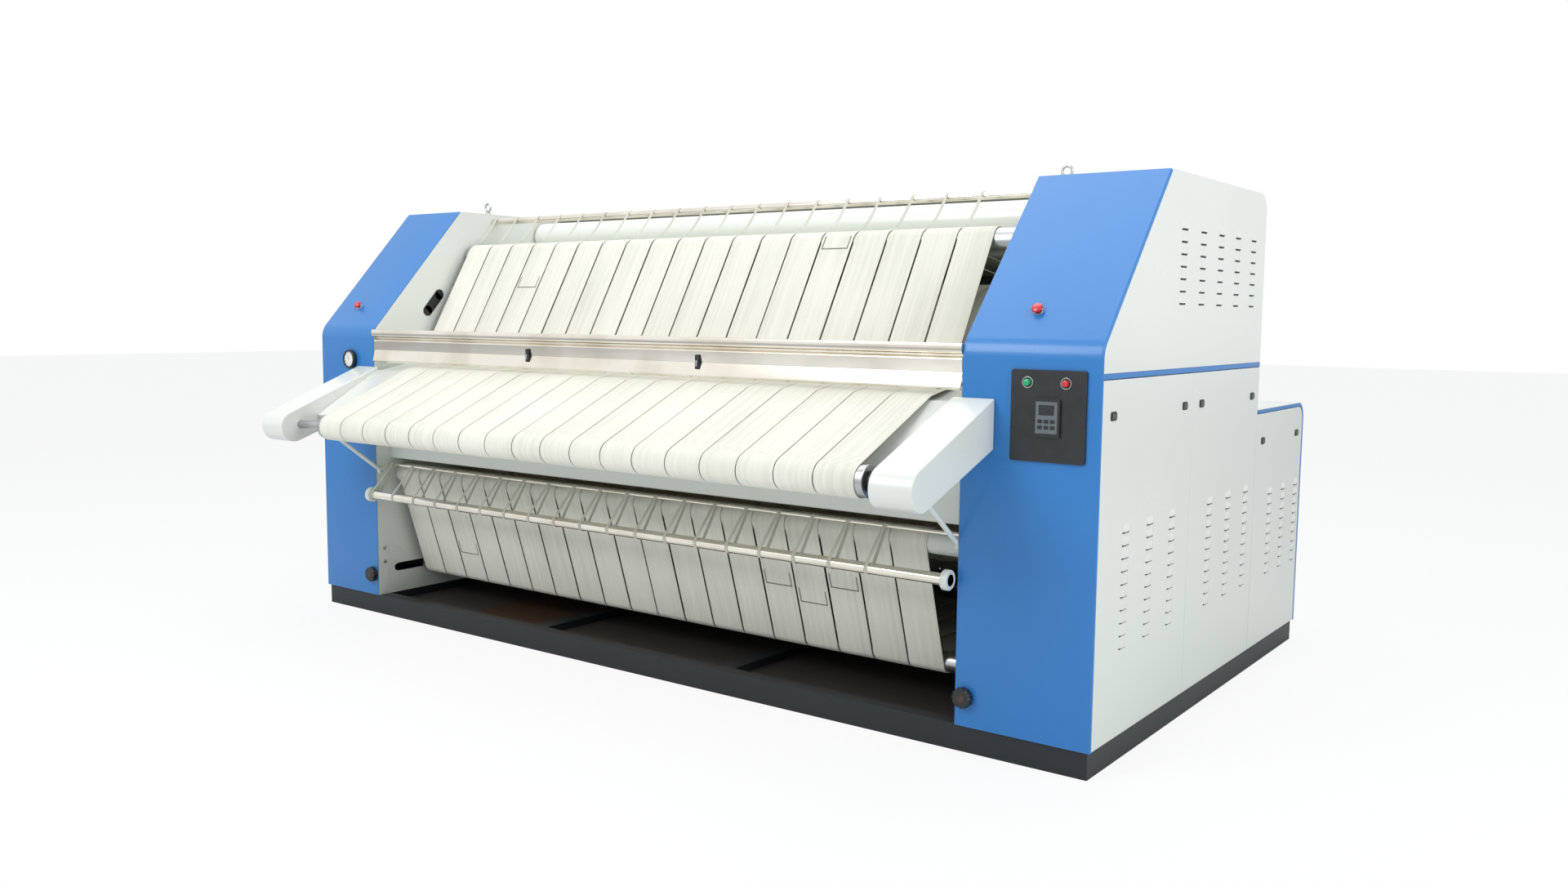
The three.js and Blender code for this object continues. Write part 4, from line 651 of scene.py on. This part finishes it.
# ---------------------------------------------------------------- feed table
@dataclass
class FeedTable:
    """Feed belts, slider bed, arm covers and stays."""

    count: int = 18
    pitch: float = 160.5
    left: float = BAY_LEFT + 270
    front: Wheel = Wheel(-430, 985, 55, 1)
    rear: Wheel = Wheel(296, 1258, 30, 1)
    crest: Wheel = Wheel(0, 1206, 30, 1)
    arm_inner: tuple = (BAY_LEFT + 35, BAY_RIGHT - 35)
    arm_width: float = 160.0

    def build(self) -> None:
        """Makes the table."""
        line = belt_line([self.front, self.rear, self.crest], 3.0)
        part = Part("feed_belt_cloths", [CLOTH, WHITE])
        for index in range(self.count):
            middle = self.left + index * self.pitch + (self.pitch - 4.5) / 2
            strap(part, line, middle, self.pitch - 4.5, 3.0, 0, True, 0.4, 40 + index)
        bed = np.array([(-345, 1030), (-15, 1229), (15, 1229), (238, 1277)])
        section = np.array([(self.arm_inner[0] + 1, 6), (self.arm_inner[1] - 1, 6),
                            (self.arm_inner[1] - 1, 18), (self.arm_inner[0] + 1, 18)])
        part.sweep(bed, section, 1)
        part.make(ROOT, ("feed_belts",), angle=50)
        self.rollers()
        for side, end in ((-1, "left"), (1, "right")):
            self.arm(side, end)
            self.strut(side, end)

    def rollers(self) -> None:
        """Front and rear rollers of the table."""
        left, right = self.left - 24, self.left + self.count * self.pitch + 24
        ends = (self.arm_inner[0] - 34, self.arm_inner[1] + 34)
        part = Part("feed_front_roller_turned", [TURNED, PLASTIC])
        place = (0, self.front.y, self.front.z)
        part.lathe([(ends[0], 0), (ends[0], 18), (left, 18), (left, 53), (left + 2, 55), (right - 2, 55),
                    (right, 53), (right, 18), (ends[1], 18), (ends[1], 0)], place, (1, 0, 0))
        for start in (left - 30, right + 8):
            spacer = [(start, 18.2), (start, 34), (start + 22, 34), (start + 22, 18.2), (start, 18.2)]
            part.lathe(spacer, place, (1, 0, 0), 1, 40)
        part.make("feed_front_roller", ("feed_front_roller",))
        rear = Part("feed_rear_roller_turned", [TURNED])
        rear.lathe([(BAY_LEFT - 34, 0), (BAY_LEFT - 34, 18), (BAY_LEFT + 12, 18), (BAY_LEFT + 12, 30),
                    (BAY_RIGHT - 12, 30), (BAY_RIGHT - 12, 18), (BAY_RIGHT + 34, 18), (BAY_RIGHT + 34, 0)],
                   (0, self.rear.y, self.rear.z), (1, 0, 0))
        rear.make("feed_rear_roller", ("feed_rear_roller",))

    def arm(self, side: int, end: str) -> None:
        """A folded arm cover: flat cheeks, a flat top and a round nose, edges rounded by a bevel."""
        nose_y, nose_z, radius = -460.0, 975.0, 70.0
        rise = math.atan2(1240 - nose_z - radius, -nose_y)
        fall = math.atan2(1068 - nose_z + radius, -nose_y)
        angle = np.linspace(rise + math.pi / 2, fall + 1.5 * math.pi, 33)
        nose = np.stack([nose_y + radius * np.cos(angle), nose_z + radius * np.sin(angle)], axis=1)
        outline = np.concatenate([np.array([(-1, 1068), (-1, 1240)]), nose])
        inner = self.arm_inner[0] if side < 0 else self.arm_inner[1]
        part = Part(f"feed_arm_cover_{end}", [WHITE])
        part.prism(outline, *sorted((inner, inner + side * self.arm_width)))
        part.make(ROOT, (f"feed_arm_{end}",), bevel=4)

    def strut(self, side: int, end: str) -> None:
        """A round stay from the arm down to the side plate, with a flattened eye."""
        bay = BAY_LEFT if side < 0 else BAY_RIGHT
        x = bay - side * 9.5
        low, high = np.array([x, 22.0, 722.0]), np.array([x, -285.0, 955.0])
        part = Part(f"strut_bar_{end}", [WHITE, TURNED])
        length = float(np.linalg.norm(high - low))
        axis = tuple((high - low) / length)
        part.lathe([(0, 0), (0, 9), (length, 9), (length, 0)], tuple(low), axis, 0, 24)
        part.lathe([(-8, 0), (-8, 16), (8, 16), (8, 0)], tuple(low), (1, 0, 0), 0, 32)
        part.lathe([(-9, 0), (-9, 7), (9, 7), (9, 0)], tuple(low), (1, 0, 0), 1, 6)
        part.make(ROOT, (f"strut_{end}",))


# ---------------------------------------------------------------- front work
@dataclass
class FrontWork:
    """Rail, finger guard, delivery cover, tube, slit rod and both sets of tapes."""

    belts: BeltSystem
    tube: tuple = (-35.0, 610.0, 21.0)
    slit: tuple = (76.0, 750.0, 7.0)
    rod: tuple = (770.0, 1992.0, 16.0)
    tape_width: float = 14.0
    hinge: tuple = (16.0, 1380.7)

    def tapes(self) -> list[float]:
        """Places of the tapes along X, one beside each belt."""
        return [self.belts.left + i * self.belts.pitch - self.belts.gap / 2 for i in range(self.belts.count)]

    def build(self) -> None:
        """Makes all of it."""
        rail = Part("front_rail_bright", [POLISHED])
        rail.prism(box_outline(-10, 30, 1388, 1422, 8), BAY_LEFT + 0.5, BAY_RIGHT - 0.5)
        rail.make(ROOT, ("front_rail",))
        self.guard()
        self.cover()
        self.delivery()
        self.upper_rod()

    def guard(self) -> None:
        """A folded polished strip: two soft bends and a turned lip, carried along its section line."""
        line = rounded([(16, 1380), (2, 1368), (8, 1322), (-5, 1269), (6, 1264)], [0, 6, 10, 4, 0], 8)
        section = np.array([(BAY_LEFT + 4, 0), (BAY_RIGHT - 4, 0), (BAY_RIGHT - 4, 2.5), (BAY_LEFT + 4, 2.5)])
        part = Part("finger_guard_plate", [POLISHED, IRON, TURNED])
        part.sweep(line, section)
        part.rod(BAY_LEFT + 1, BAY_RIGHT - 1, 7, *self.hinge, 0, 32)
        for x in (-560, 420):
            part.prism(box_outline(-6, 2, 1296, 1352, 2), x - 9, x + 9, 1)
            part.prism(box_outline(-9, -5, 1306, 1330, 1), x - 4, x + 4, 2)
        part.make("finger_guard", ("finger_guard",))

    def cover(self) -> None:
        """The white delivery cover: a bent plate with a rounded break and a turned foot."""
        line = rounded([(90, 1082), (60, 1070), (88, 884), (88, 784), (104, 780)], [0, 8, 30, 6, 0], 8)
        x0, x1, thick = BAY_LEFT + 0.5, BAY_RIGHT - 0.5, 2.5
        section = np.array([(x0, 0), (x1, 0), (x1, -thick), (x0, -thick)])
        part = Part("delivery_cover_plate", [WHITE])
        part.sweep(line, section)
        part.make(ROOT, ("delivery_cover",))

    def delivery(self) -> None:
        """Tube with end discs, slit rod and the tapes that loop round both."""
        part = Part("delivery_tube_set", [POLISHED, WHITE, SHADED_TAPE])
        y, z, radius = self.tube
        start, end = BAY_LEFT + 3, BAY_RIGHT - 8
        part.rod(start, end, radius, y, z)
        for x0 in (start, end - 26):
            part.lathe([(x0, 0), (x0, 33), (x0 + 3, 36), (x0 + 23, 36), (x0 + 26, 33), (x0 + 26, 0)],
                       (0, y, z), (1, 0, 0), 1)
        sy, sz, sr = self.slit
        part.rod(BAY_LEFT + 1, BAY_RIGHT - 1, sr, sy, sz, 0, 24)
        loop = belt_line([Wheel(y, z, radius - 0.6, 1), Wheel(sy, sz, sr - 0.6, 1)], 1.6, 12)
        for index, x in enumerate(self.tapes()):
            strap(part, loop, x, self.tape_width, 1.6, 2, True, 0.0, 80 + index)
        part.make(ROOT, ("delivery_tube",))

    def upper_rod(self) -> None:
        """Upper rod with the tapes that hang from it into the gaps between the belts."""
        part = Part("tape_rod_set", [POLISHED, SHADED_TAPE])
        y, z, radius = self.rod
        part.rod(BAY_LEFT + 1, BAY_RIGHT - 1, radius, y, z)
        angle = np.radians(np.linspace(20, 150, 14))
        over = np.stack([y + (radius + 1) * np.cos(angle), z + (radius + 1) * np.sin(angle)], axis=1)
        end = np.array([640.0, 1874.0])
        share = np.linspace(0, 1, 8)[1:, None]
        sag = np.stack([0 * share[:, 0], -10 * np.sin(np.pi * share[:, 0])], axis=1)
        line = np.concatenate([over, over[-1] + (end - over[-1]) * share + sag])
        for index, x in enumerate(self.tapes()):
            strap(part, line, x, self.tape_width, 2.0, 1, False, 0.0, 120 + index)
        part.make(ROOT, ("tape_rod",))


# ------------------------------------------------------------------ cabinets
@dataclass
class Louvres:
    """A field of pressed louvres."""

    y: float
    pitch: float
    columns: int
    top: float
    rows: int
    length: float = 62.0
    height: float = 25.0
    lift: float = 7.0
    step: float = 44.0

    def press(self, part: Part, face: float, side: int, skin: int, painted_shade_finish: int) -> None:
        """Each louvre: lift = full height x (1 - up^1.6) x sqrt(1 - across^4), over a black strip that paints the
        shade of its opening and the shadow under its lip.

        Args:
            part: where they go.
            face: X of the sheet's outer face.
            side: -1 left, +1 right.
            skin: finish of the louvre.
            painted_shade_finish: finish of the black strip, painted shade of the opening and painted shadow under
                the lip.
        """
        across = np.linspace(-1, 1, 11)
        up = np.linspace(0, 1, 5)
        a, u = np.meshgrid(across, up, indexing="xy")
        rise = self.lift * (1 - u ** 1.6) * np.sqrt(np.clip(1 - a ** 4, 0, 1))
        for column in range(self.columns):
            y = self.y + (column - (self.columns - 1) / 2) * self.pitch
            for row in range(self.rows):
                z = self.top - row * self.step
                shell = [face + side * (rise - 0.2), y + a * self.length / 2, z + u * self.height]
                part.put(turned(np.stack(shell, -1)), grid_faces(5, 11, False, False).tolist(), skin)
                reach = y + across * (self.length / 2 - 1.5)
                # black strip from just inside the lip down to 6.5 mm below it on the sheet: painted shade of the
                # opening and painted shadow under the lip
                lip = np.stack([face + side * (rise[0] - 0.8), reach, 0 * across + z], -1)
                root = lip.copy()
                root[:, 0] = face + side * 0.3
                root[:, 2] -= 6.5
                part.put(turned(np.stack([root, lip])), grid_faces(2, 11, False, False).tolist(), painted_shade_finish)


@dataclass
class Cabinets:
    """Blue front panels, white doors and hoods, low boxes and rear covers."""

    fields: tuple = (
        ("front", Louvres(465, 221, 3, 800, 10), 0.0), ("rear", Louvres(1325, 228, 3, 800, 10), 0.0),
        ("low", Louvres(2110, 202, 3, 754, 9), 62.0),
    )
    pan_depth: float = 21.0
    hood_field: Louvres = field(default_factory=lambda: Louvres(1107, 203, 5, 1832, 7))

    def build(self) -> None:
        """Makes both cabinets and the rear covers."""
        for side, end in ((-1, "left"), (1, "right")):
            outer = LEFT_FACE if side < 0 else RIGHT_FACE
            inner = BAY_LEFT if side < 0 else BAY_RIGHT
            self.front_panel(side, end, inner, outer)
            self.hood(side, end, inner, outer)
            for name, louvres, corner in self.fields:
                self.door(name, louvres, corner, side, end, outer)
            self.bent(f"low_box_cover_{end}", f"low_box_{end}", self.low_line(),
                      min(inner, outer) + (0 if side < 0 else 0.4), max(inner, outer) - (0.4 if side < 0 else 0))
        self.bent("rear_lower_cover", "rear_lower_panel", self.low_line(), BAY_LEFT, BAY_RIGHT)
        top = rounded([(1239, TOP_Z), (CABINET_DEPTH, TOP_Z), (CABINET_DEPTH, TOP_Z - REAR_R)], [0, REAR_R - 0.1, 0])
        self.bent("top_cover_sheet", "top_cover", top, BAY_LEFT + 0.4, BAY_RIGHT - 0.4)

    def low_line(self) -> np.ndarray:
        """Top and rear of the low box."""
        return rounded([(CABINET_DEPTH, LOW_BOX_Z), (BASE_DEPTH, LOW_BOX_Z), (BASE_DEPTH, SEAT_Z)], [0, REAR_R, 0])

    def bent(self, name: str, node: str, line: np.ndarray, x0: float, x1: float) -> None:
        """A bent white sheet in place of a faceted one."""
        part = Part(name, [WHITE])
        part.sweep(line, np.array([(x0, 0), (x1, 0), (x1, SHEET), (x0, SHEET)]))
        part.make(ROOT, (node,), bevel=0.8)

    def front_panel(self, side: int, end: str, inner: float, outer: float) -> None:
        """Blue panel: its section turns a 6 mm corner into a 12 mm flange and runs up the front line."""
        line = rounded([(0, SEAT_Z), (0, KINK_Z), (SLANT_RUN, TOP_Z)], [0, KINK_R, 0], 20)
        line = np.concatenate([line[:1], np.linspace(line[0], line[1], 12)[1:-1], line[1:]])
        turn = np.linspace(0, math.pi / 2, 7)
        corner = np.stack([outer - side * 6 + side * 6 * np.sin(turn), 6 - 6 * np.cos(turn)], axis=1)
        section = np.concatenate([
            np.array([(inner, SHEET), (inner, 0.6), (inner + side * 0.6, 0)]), corner,
            np.array([(outer, FLANGE), (outer - side * SHEET, FLANGE), (outer - side * SHEET, 8),
                      (outer - side * 8, SHEET)]),
        ])
        part = Part(f"front_panel_sheet_{end}", [BLUE])
        part.sweep(line, section)
        part.make(ROOT, (f"front_panel_{end}",))

    def hood(self, side: int, end: str, inner: float, outer: float) -> None:
        """White hood: roof sheet over a side cheek with five columns of louvres."""
        rise = np.array([math.cos(SLANT), math.sin(SLANT)])
        inset = FLANGE + 0.4
        kink = np.array([inset, KINK_Z + inset * (math.tan(SLANT) - 1 / math.cos(SLANT))])
        reach = (TOP_Z - kink[1]) / rise[1]
        head = kink + rise * reach
        outline = rounded(
            [(inset, WAIST_Z + 0.4), tuple(kink), tuple(head), (CABINET_DEPTH, TOP_Z),
             (CABINET_DEPTH, WAIST_Z + 0.4)],
            [0, KINK_R - inset, 0, REAR_R, 0], 14, closed=True,
        )
        part = Part(f"hood_sheet_{end}", [WHITE, BLACK])
        part.prism(outline, *sorted((outer, outer - side * 60)))
        lower = box_outline(CABINET_DEPTH - SHEET, CABINET_DEPTH, LOW_BOX_Z + 0.4, WAIST_Z + 1)
        part.prism(lower, *sorted((inner, outer)))
        roof = rounded([(float(head[0]) + 1, TOP_Z), (CABINET_DEPTH, TOP_Z), (CABINET_DEPTH, WAIST_Z)],
                       [0, REAR_R, 0], 14)
        join = outer - side * 59
        x0, x1 = sorted((inner, join))
        part.sweep(roof, np.array([(x0, 0), (x1, 0), (x1, SHEET), (x0, SHEET)]))
        part.make(ROOT, (f"hood_{end}",), bevel=2.5)
        vents = Part(f"hood_louvres_{end}", [WHITE, BLACK])
        # second finish, black: painted shade of the louvres' openings and painted shadow under their lips
        self.hood_field.press(vents, outer, side, 0, 1)
        vents.make(ROOT, angle=60)

    def door(self, name: str, louvres: Louvres, corner: float, side: int, end: str, outer: float) -> None:
        """Lift-off door: a rounded pan with pressed louvres and two quarter-turn latches."""
        low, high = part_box(f"door_{name}_{end}")
        y0, y1 = (low[1] - FRONT_FACE_Y) / MM, (high[1] - FRONT_FACE_Y) / MM
        z0, z1 = low[2] / MM, high[2] / MM
        outline = rounded([(y0, z0), (y1, z0), (y1, z1), (y0, z1)], [2, 2, corner or 2, 2], 10, closed=True)
        body = f"door_{name}_{end}"
        part = Part(body + "_pan", [WHITE])
        part.prism(outline, *sorted((outer, outer - side * self.pan_depth)))
        part.make(body, (body,), bevel=3)
        vents = Part(body + "_louvres", [WHITE, BLACK])
        # second finish, black: painted shade of the louvres' openings and painted shadow under their lips
        louvres.press(vents, outer, side, 0, 1)
        vents.make(body, angle=60)
        locks = Part(body + "_latches", [LATCH, BLACK])
        for y in (y0 + 90, y1 - 90):
            z = z1 - 118
            rim, turn = (outer - side, outer + side * 2), (outer, outer + side * 5.5)
            locks.prism(box_outline(y - 24, y + 24, z - 15, z + 15, 6), *sorted(rim), 1)
            locks.prism(box_outline(y - 19, y + 19, z - 9, z + 9, 3), *sorted(turn), 0)
        locks.make(body, bevel=0.8)


# ------------------------------------------------------------------ controls
@dataclass
class Controls:
    """Control panel, buttons, gauge, knobs and lifting eyes."""

    panel: tuple = (1920.0, 1191.0, 265.0, 302.0)
    buttons: tuple = (("start_button", -73.0, GREEN), ("stop_button", 62.0, RED))
    normal: tuple = (0.0, -math.sin(SLANT), math.cos(SLANT))

    def plate(self, part: Part, x0: float, x1: float, z0: float, z1: float, y0: float, y1: float,
              radius: float, kind: int = 0) -> None:
        """A plate parallel to the front: a rounded (x, z) outline carried from y0 to y1."""
        ring = rounded([(x0, z0), (x1, z0), (x1, z1), (x0, z1)], [radius] * 4, 5, closed=True)
        both = np.array([[[x, y, z] for x, z in ring] for y in (y0, y1)])
        part.put(turned(both), tube_faces(2, len(ring)), kind)

    def build(self) -> None:
        """Makes all controls."""
        self.control_panel()
        x, z = self.panel[:2]
        for name, offset, finish in self.buttons:
            part = Part(name + "_cap", [finish])
            part.lathe([(-2.7, 0), (-2.7, 11), (11, 11), (14, 9.5), (15.3, 6), (15.3, 0)],
                       (x + offset, -8.3, z + 109), (0, -1, 0), 0, 48)
            part.make(name, (name,))
        for side, end in ((-1, "left"), (1, "right")):
            self.mushroom(side, end)
            self.knob(side, end)
            self.eye(side, end)
        self.gauge()

    def control_panel(self) -> None:
        """Black plate with a keypad unit, keys, a display window and bezels."""
        x, z, width, height = self.panel
        part = Part("control_panel_plate", [PLASTIC, KEYPAD, DISPLAY, TURNED])
        self.plate(part, x - width / 2, x + width / 2, z - height / 2, z + height / 2, -0.3, -8.3, 8)
        self.plate(part, x - 46, x + 46, z - 68, z + 57, -8, -17, 5, 0)
        self.plate(part, x - 38, x + 38, z - 56, z + 48, -17, -18, 3, 1)
        self.plate(part, x - 27, x + 27, z + 4, z + 38, -18, -19, 2, 2)
        for row in range(2):
            for column in range(3):
                cx, cz = x - 22 + column * 22, z - 16 - row * 20
                self.plate(part, cx - 8, cx + 8, cz - 6, cz + 6, -18, -19.5, 3, 0)
        for _, offset, _finish in self.buttons:
            bezel = [(-0.2, 16), (-0.2, 20), (3, 19), (3, 16), (-0.2, 16)]
            part.lathe(bezel, (x + offset, -8.3, z + 109), (0, -1, 0), 3, 48)
        part.make(ROOT, ("control_panel",), bevel=0.7)

    def mushroom(self, side: int, end: str) -> None:
        """Red mushroom button on the slanted panel, turned about the panel's normal."""
        x = BAY_LEFT - 254 if side < 0 else BAY_RIGHT + 224
        seat = (x, 157 * math.cos(SLANT), KINK_Z + 157 * math.sin(SLANT))
        part = Part(f"emergency_button_cap_{end}", [RED])
        part.lathe([(-12, 0), (-12, 8), (12, 8), (12, 17), (14, 19.4), (17, 20), (21, 18.5), (24, 14), (25.5, 8),
                    (26, 0)], seat, self.normal, 0, 48)
        name = f"emergency_button_{end}"
        part.make(name, (name,))
        collar = Part(f"emergency_collar_{end}", [TURNED])
        collar.lathe([(0.2, 9), (0.2, 17), (2.2, 16), (2.2, 9), (0.2, 9)], seat, self.normal, 0, 48)
        collar.make(ROOT)

    def knob(self, side: int, end: str) -> None:
        """Fluted hand knob: radius = 36 + 1.5 cos(12 angle), with a brown insert."""
        x = (BAY_LEFT if side < 0 else BAY_RIGHT) + side * 36
        part = Part(f"tension_knob_turned_{end}", [PLASTIC, NUT, TURNED])
        angle = np.linspace(0, 2 * np.pi, 96, endpoint=False)
        flute = 1 + 0.04 * np.cos(12 * angle)
        rings = []
        for along, radius in ((0.4, 30), (3, 35.5), (24, 35.5), (29, 31), (29, 16)):
            rings.append(np.stack([x + radius * flute * np.cos(angle), 0 * angle - along,
                                   200 + radius * flute * np.sin(angle)], axis=1))
        part.put(turned(np.array(rings)), tube_faces(len(rings), len(angle)), 0)
        part.lathe([(28, 0), (28, 15), (30, 14), (30, 0)], (x, 0, 200), (0, -1, 0), 1, 48)
        part.lathe([(-93, 0), (-93, 8), (-1, 8), (-1, 0)], (x, 0, 200), (0, -1, 0), 2, 32)
        name = f"tension_knob_{end}"
        part.make(name, (name,))

    def eye(self, side: int, end: str) -> None:
        """Lifting eye: a torus on a collar, tube radius 5.5 about a 20 mm ring."""
        x = BAY_LEFT - 20 if side < 0 else BAY_RIGHT + 20
        part = Part(f"eye_bolt_forged_{end}", [TURNED])
        u, v = np.meshgrid(np.linspace(0, 2 * np.pi, 48, endpoint=False),
                           np.linspace(0, 2 * np.pi, 16, endpoint=False), indexing="ij")
        ring = np.stack([x + (20 + 5.5 * np.cos(v)) * np.cos(u), 750 + 5.5 * np.sin(v),
                         2065.8 + (20 + 5.5 * np.cos(v)) * np.sin(u)], axis=-1)
        part.put(turned(ring), grid_faces(48, 16, True, True).tolist())
        part.lathe([(0.3, 0), (0.3, 14), (6, 14), (12, 9), (14, 0)], (x, 750, TOP_Z), (0, 0, 1), 0, 40)
        part.make(ROOT, (f"eye_bolt_{end}",))

    def gauge(self) -> None:
        """Pressure gauge: black rim, white dial, plain tick marks and a needle."""
        place = (-1849.0, 0.0, 1272.0)
        part = Part("pressure_gauge_dial", [DIAL, PLASTIC, MARKING])
        part.lathe([(0.3, 0), (0.3, 46), (19, 46), (22, 43), (22, 38), (16, 37), (16, 36.8)], place, (0, -1, 0), 1)
        part.lathe([(10, 0), (10, 37.2), (16.2, 37.2), (16.2, 0)], place, (0, -1, 0), 0)
        for tick in range(11):
            angle = math.radians(225 - 27 * tick)
            c, s = math.cos(angle), math.sin(angle)
            across = np.array([-s, 0, c])
            along = np.array([c, 0, s])
            centre = np.array(place) + np.array([0, -16.6, 0])
            corners = [centre + along * r + across * w for r, w in ((27, -1), (34, -1), (34, 1), (27, 1))]
            part.put(turned(np.array(corners)), [[0, 1, 2, 3]], 2)
        tip = np.array(place) + np.array([-16, -17.0, 20])
        base = np.array(place) + np.array([0, -17.0, 0])
        part.put(turned(np.array([base + (1.6, 0, 1.2), tip, base - (1.6, 0, 1.2)])), [[0, 1, 2]], 2)
        part.make(ROOT, ("pressure_gauge",))


# -------------------------------------------------------------- carried nodes
@dataclass
class CarriedNodes:
    """CAD nodes that keep their shape and get a made surface."""

    finishes: dict = field(default_factory=lambda: {
        "base_frame": BLACK, "floor_pan": PAN, "side_plate_left": WHITE, "side_plate_right": WHITE,
        "cabinet_frame_left": BLUE, "cabinet_frame_right": BLUE, "rear_upper_panel": WHITE,
        "drum_bearing_left": IRON, "drum_bearing_right": IRON, "drum_sprocket": TURNED, "motor_sprocket": TURNED,
        "drive_chain": IRON, "gearmotor": IRON, "steam_joint": IRON,
    })

    def build(self) -> None:
        """Dresses each node, adds small hardware to the side plates and fills a slot in each with black as painted
        shade.
        """
        for name, finish in self.finishes.items():
            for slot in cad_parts[name].material_slots:
                slot.material = finish.build()
        pan_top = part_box("floor_pan")[1][2] / MM
        sheet = Part("brown_pan_sheet", [BROWN_PAN])
        sheet.prism(box_outline(150, 760, pan_top + 0.3, pan_top + 1.3), -1150, -620)
        sheet.make(ROOT)
        hardware = Part("side_plate_hardware", [TURNED, BLACK])
        for y, z in ((40, 262), (40, 330)):
            hardware.lathe([(0, 0), (0, 9), (6, 9), (7, 0)], (BAY_LEFT, y, z), (1, 0, 0), 0, 6)
        run = (56 * math.cos(SLANT), 56 * math.sin(SLANT))
        # a black stadium through each side plate: painted shade of the open slot
        for x0, x1 in ((BAY_LEFT - 7, BAY_LEFT + 3), (BAY_RIGHT - 3, BAY_RIGHT + 7)):
            slot_shade_patches = [circle(366 + s * run[0], 1558 + s * run[1], 26, 24) for s in (-1, 1)]
            for ring in slot_shade_patches:
                hardware.prism(ring, x0, x1, 1)
            n = np.array([-run[1], run[0]]) / 56 * 26
            a, b = np.array([366 - run[0], 1558 - run[1]]), np.array([366 + run[0], 1558 + run[1]])
            hardware.prism(np.array([a + n, a - n, b - n, b + n]), x0, x1, 1)
        for y, z, radius in ((620, 1800, 46), (1130, 1925, 40), (366, 1364, 40)):
            for face, side in ((BAY_LEFT, 1), (BAY_RIGHT, -1)):
                profile = [(0.3, 19), (0.3, radius), (8, radius - 4), (8, 19), (0.3, 19)]
                hardware.lathe(profile, (face, y, z), (side, 0, 0), 1, 40)
        hardware.make(ROOT)


# -------------------------------------------------------------------- studio
@dataclass
class Studio:
    """Camera at the photograph's angle, soft light and a pale floor."""

    place: tuple = (3.6947, -4.7747, 1.5094)
    ahead: tuple = (-0.59265, 0.79948, -0.09793)
    above: tuple = (-0.06635, 0.07271, 0.99514)
    focal_px: float = 1560.85
    photo_width_px: float = 1920.0

    def camera(self) -> None:
        """Puts the camera where the photograph was taken from."""
        data = bpy.data.cameras.new("camera")
        data.sensor_width = 36.0
        data.lens = self.focal_px / self.photo_width_px * data.sensor_width
        ahead, above = Vector(self.ahead).normalized(), Vector(self.above)
        right = ahead.cross(above).normalized()
        above = right.cross(ahead)
        turn = Matrix((right, above, -ahead)).transposed().to_4x4()
        thing = bpy.data.objects.new("camera", data)
        thing.matrix_world = Matrix.Translation(self.place) @ turn
        bpy.context.scene.collection.objects.link(thing)
        bpy.context.scene.camera = thing

    def lamp(self, name: str, place: tuple, target: tuple, size: float, power: float) -> None:
        """One square soft box that looks at a target."""
        data = bpy.data.lights.new(name, "AREA")
        data.size, data.energy = size, power
        thing = bpy.data.objects.new(name, data)
        thing.location = place
        thing.rotation_euler = (Vector(target) - Vector(place)).to_track_quat("-Z", "Y").to_euler()
        bpy.context.scene.collection.objects.link(thing)

    def build(self) -> None:
        """Makes lamps, world and floor."""
        bpy.context.scene.view_settings.view_transform = "Standard"
        self.lamp("key", (-1.5, -6.5, 5.5), (0, 0, 1.0), 4.0, 290)
        self.lamp("side", (7.0, -1.5, 4.0), (1.5, 0, 1.0), 4.0, 170)
        self.lamp("top", (0, 0.5, 6.5), (0, 0, 0), 5.0, 150)
        world = bpy.data.worlds.new("pale_room")
        bpy.context.scene.world = world
        world.use_nodes = True
        tree = world.node_tree
        tree.nodes.clear()
        path = add(tree, "ShaderNodeLightPath")
        seen = add(tree, "ShaderNodeMath", {0: path.outputs["Is Camera Ray"], 1: path.outputs["Is Glossy Ray"]},
                   operation="MAXIMUM")
        seen = add(tree, "ShaderNodeMath", {0: seen.outputs[0], 1: path.outputs["Is Transmission Ray"]},
                   operation="MAXIMUM")
        dim = add(tree, "ShaderNodeBackground", {"Color": (0.93, 0.96, 1.0, 1.0), "Strength": 0.5})
        bright = add(tree, "ShaderNodeBackground", {"Color": (1.0, 1.0, 1.0, 1.0), "Strength": 1.0})
        mix = add(tree, "ShaderNodeMixShader", {0: seen.outputs[0], 1: dim.outputs[0], 2: bright.outputs[0]})
        add(tree, "ShaderNodeOutputWorld", {"Surface": mix.outputs[0]})
        self.floor()

    def floor(self) -> None:
        """A pale floor that keeps the shadow but reads almost white to the camera."""
        mesh = bpy.data.meshes.new("floor")
        mesh.from_pydata([(-40, -40, 0), (40, -40, 0), (40, 40, 0), (-40, 40, 0)], [], [(0, 1, 2, 3)])
        thing = bpy.data.objects.new("floor", mesh)
        bpy.context.scene.collection.objects.link(thing)
        material = bpy.data.materials.new("pale_floor")
        material.use_nodes = True
        tree = material.node_tree
        tree.nodes.clear()
        path = add(tree, "ShaderNodeLightPath")
        seen = add(tree, "ShaderNodeMath", {0: path.outputs["Is Camera Ray"], 1: 0.87}, operation="MULTIPLY")
        plain = add(tree, "ShaderNodeBsdfDiffuse", {"Color": (0.86, 0.87, 0.87, 1.0)})
        glow = add(tree, "ShaderNodeEmission", {"Color": (1.0, 1.0, 1.0, 1.0), "Strength": 1.0})
        mix = add(tree, "ShaderNodeMixShader", {0: seen.outputs[0], 1: plain.outputs[0], 2: glow.outputs[0]})
        add(tree, "ShaderNodeOutputMaterial", {"Surface": mix.outputs[0]})
        mesh.materials.append(material)


def main() -> None:
    """Builds the studio and every sub-assembly in order."""
    logging.basicConfig(level=logging.INFO, format="%(name)s %(message)s")
    studio = Studio()
    studio.camera()
    belts = BeltSystem()
    for assembly in (belts, FeedTable(), FrontWork(belts), Cabinets(), Controls(), CarriedNodes(), studio):
        assembly.build()


if __name__ == "__main__":
    main()
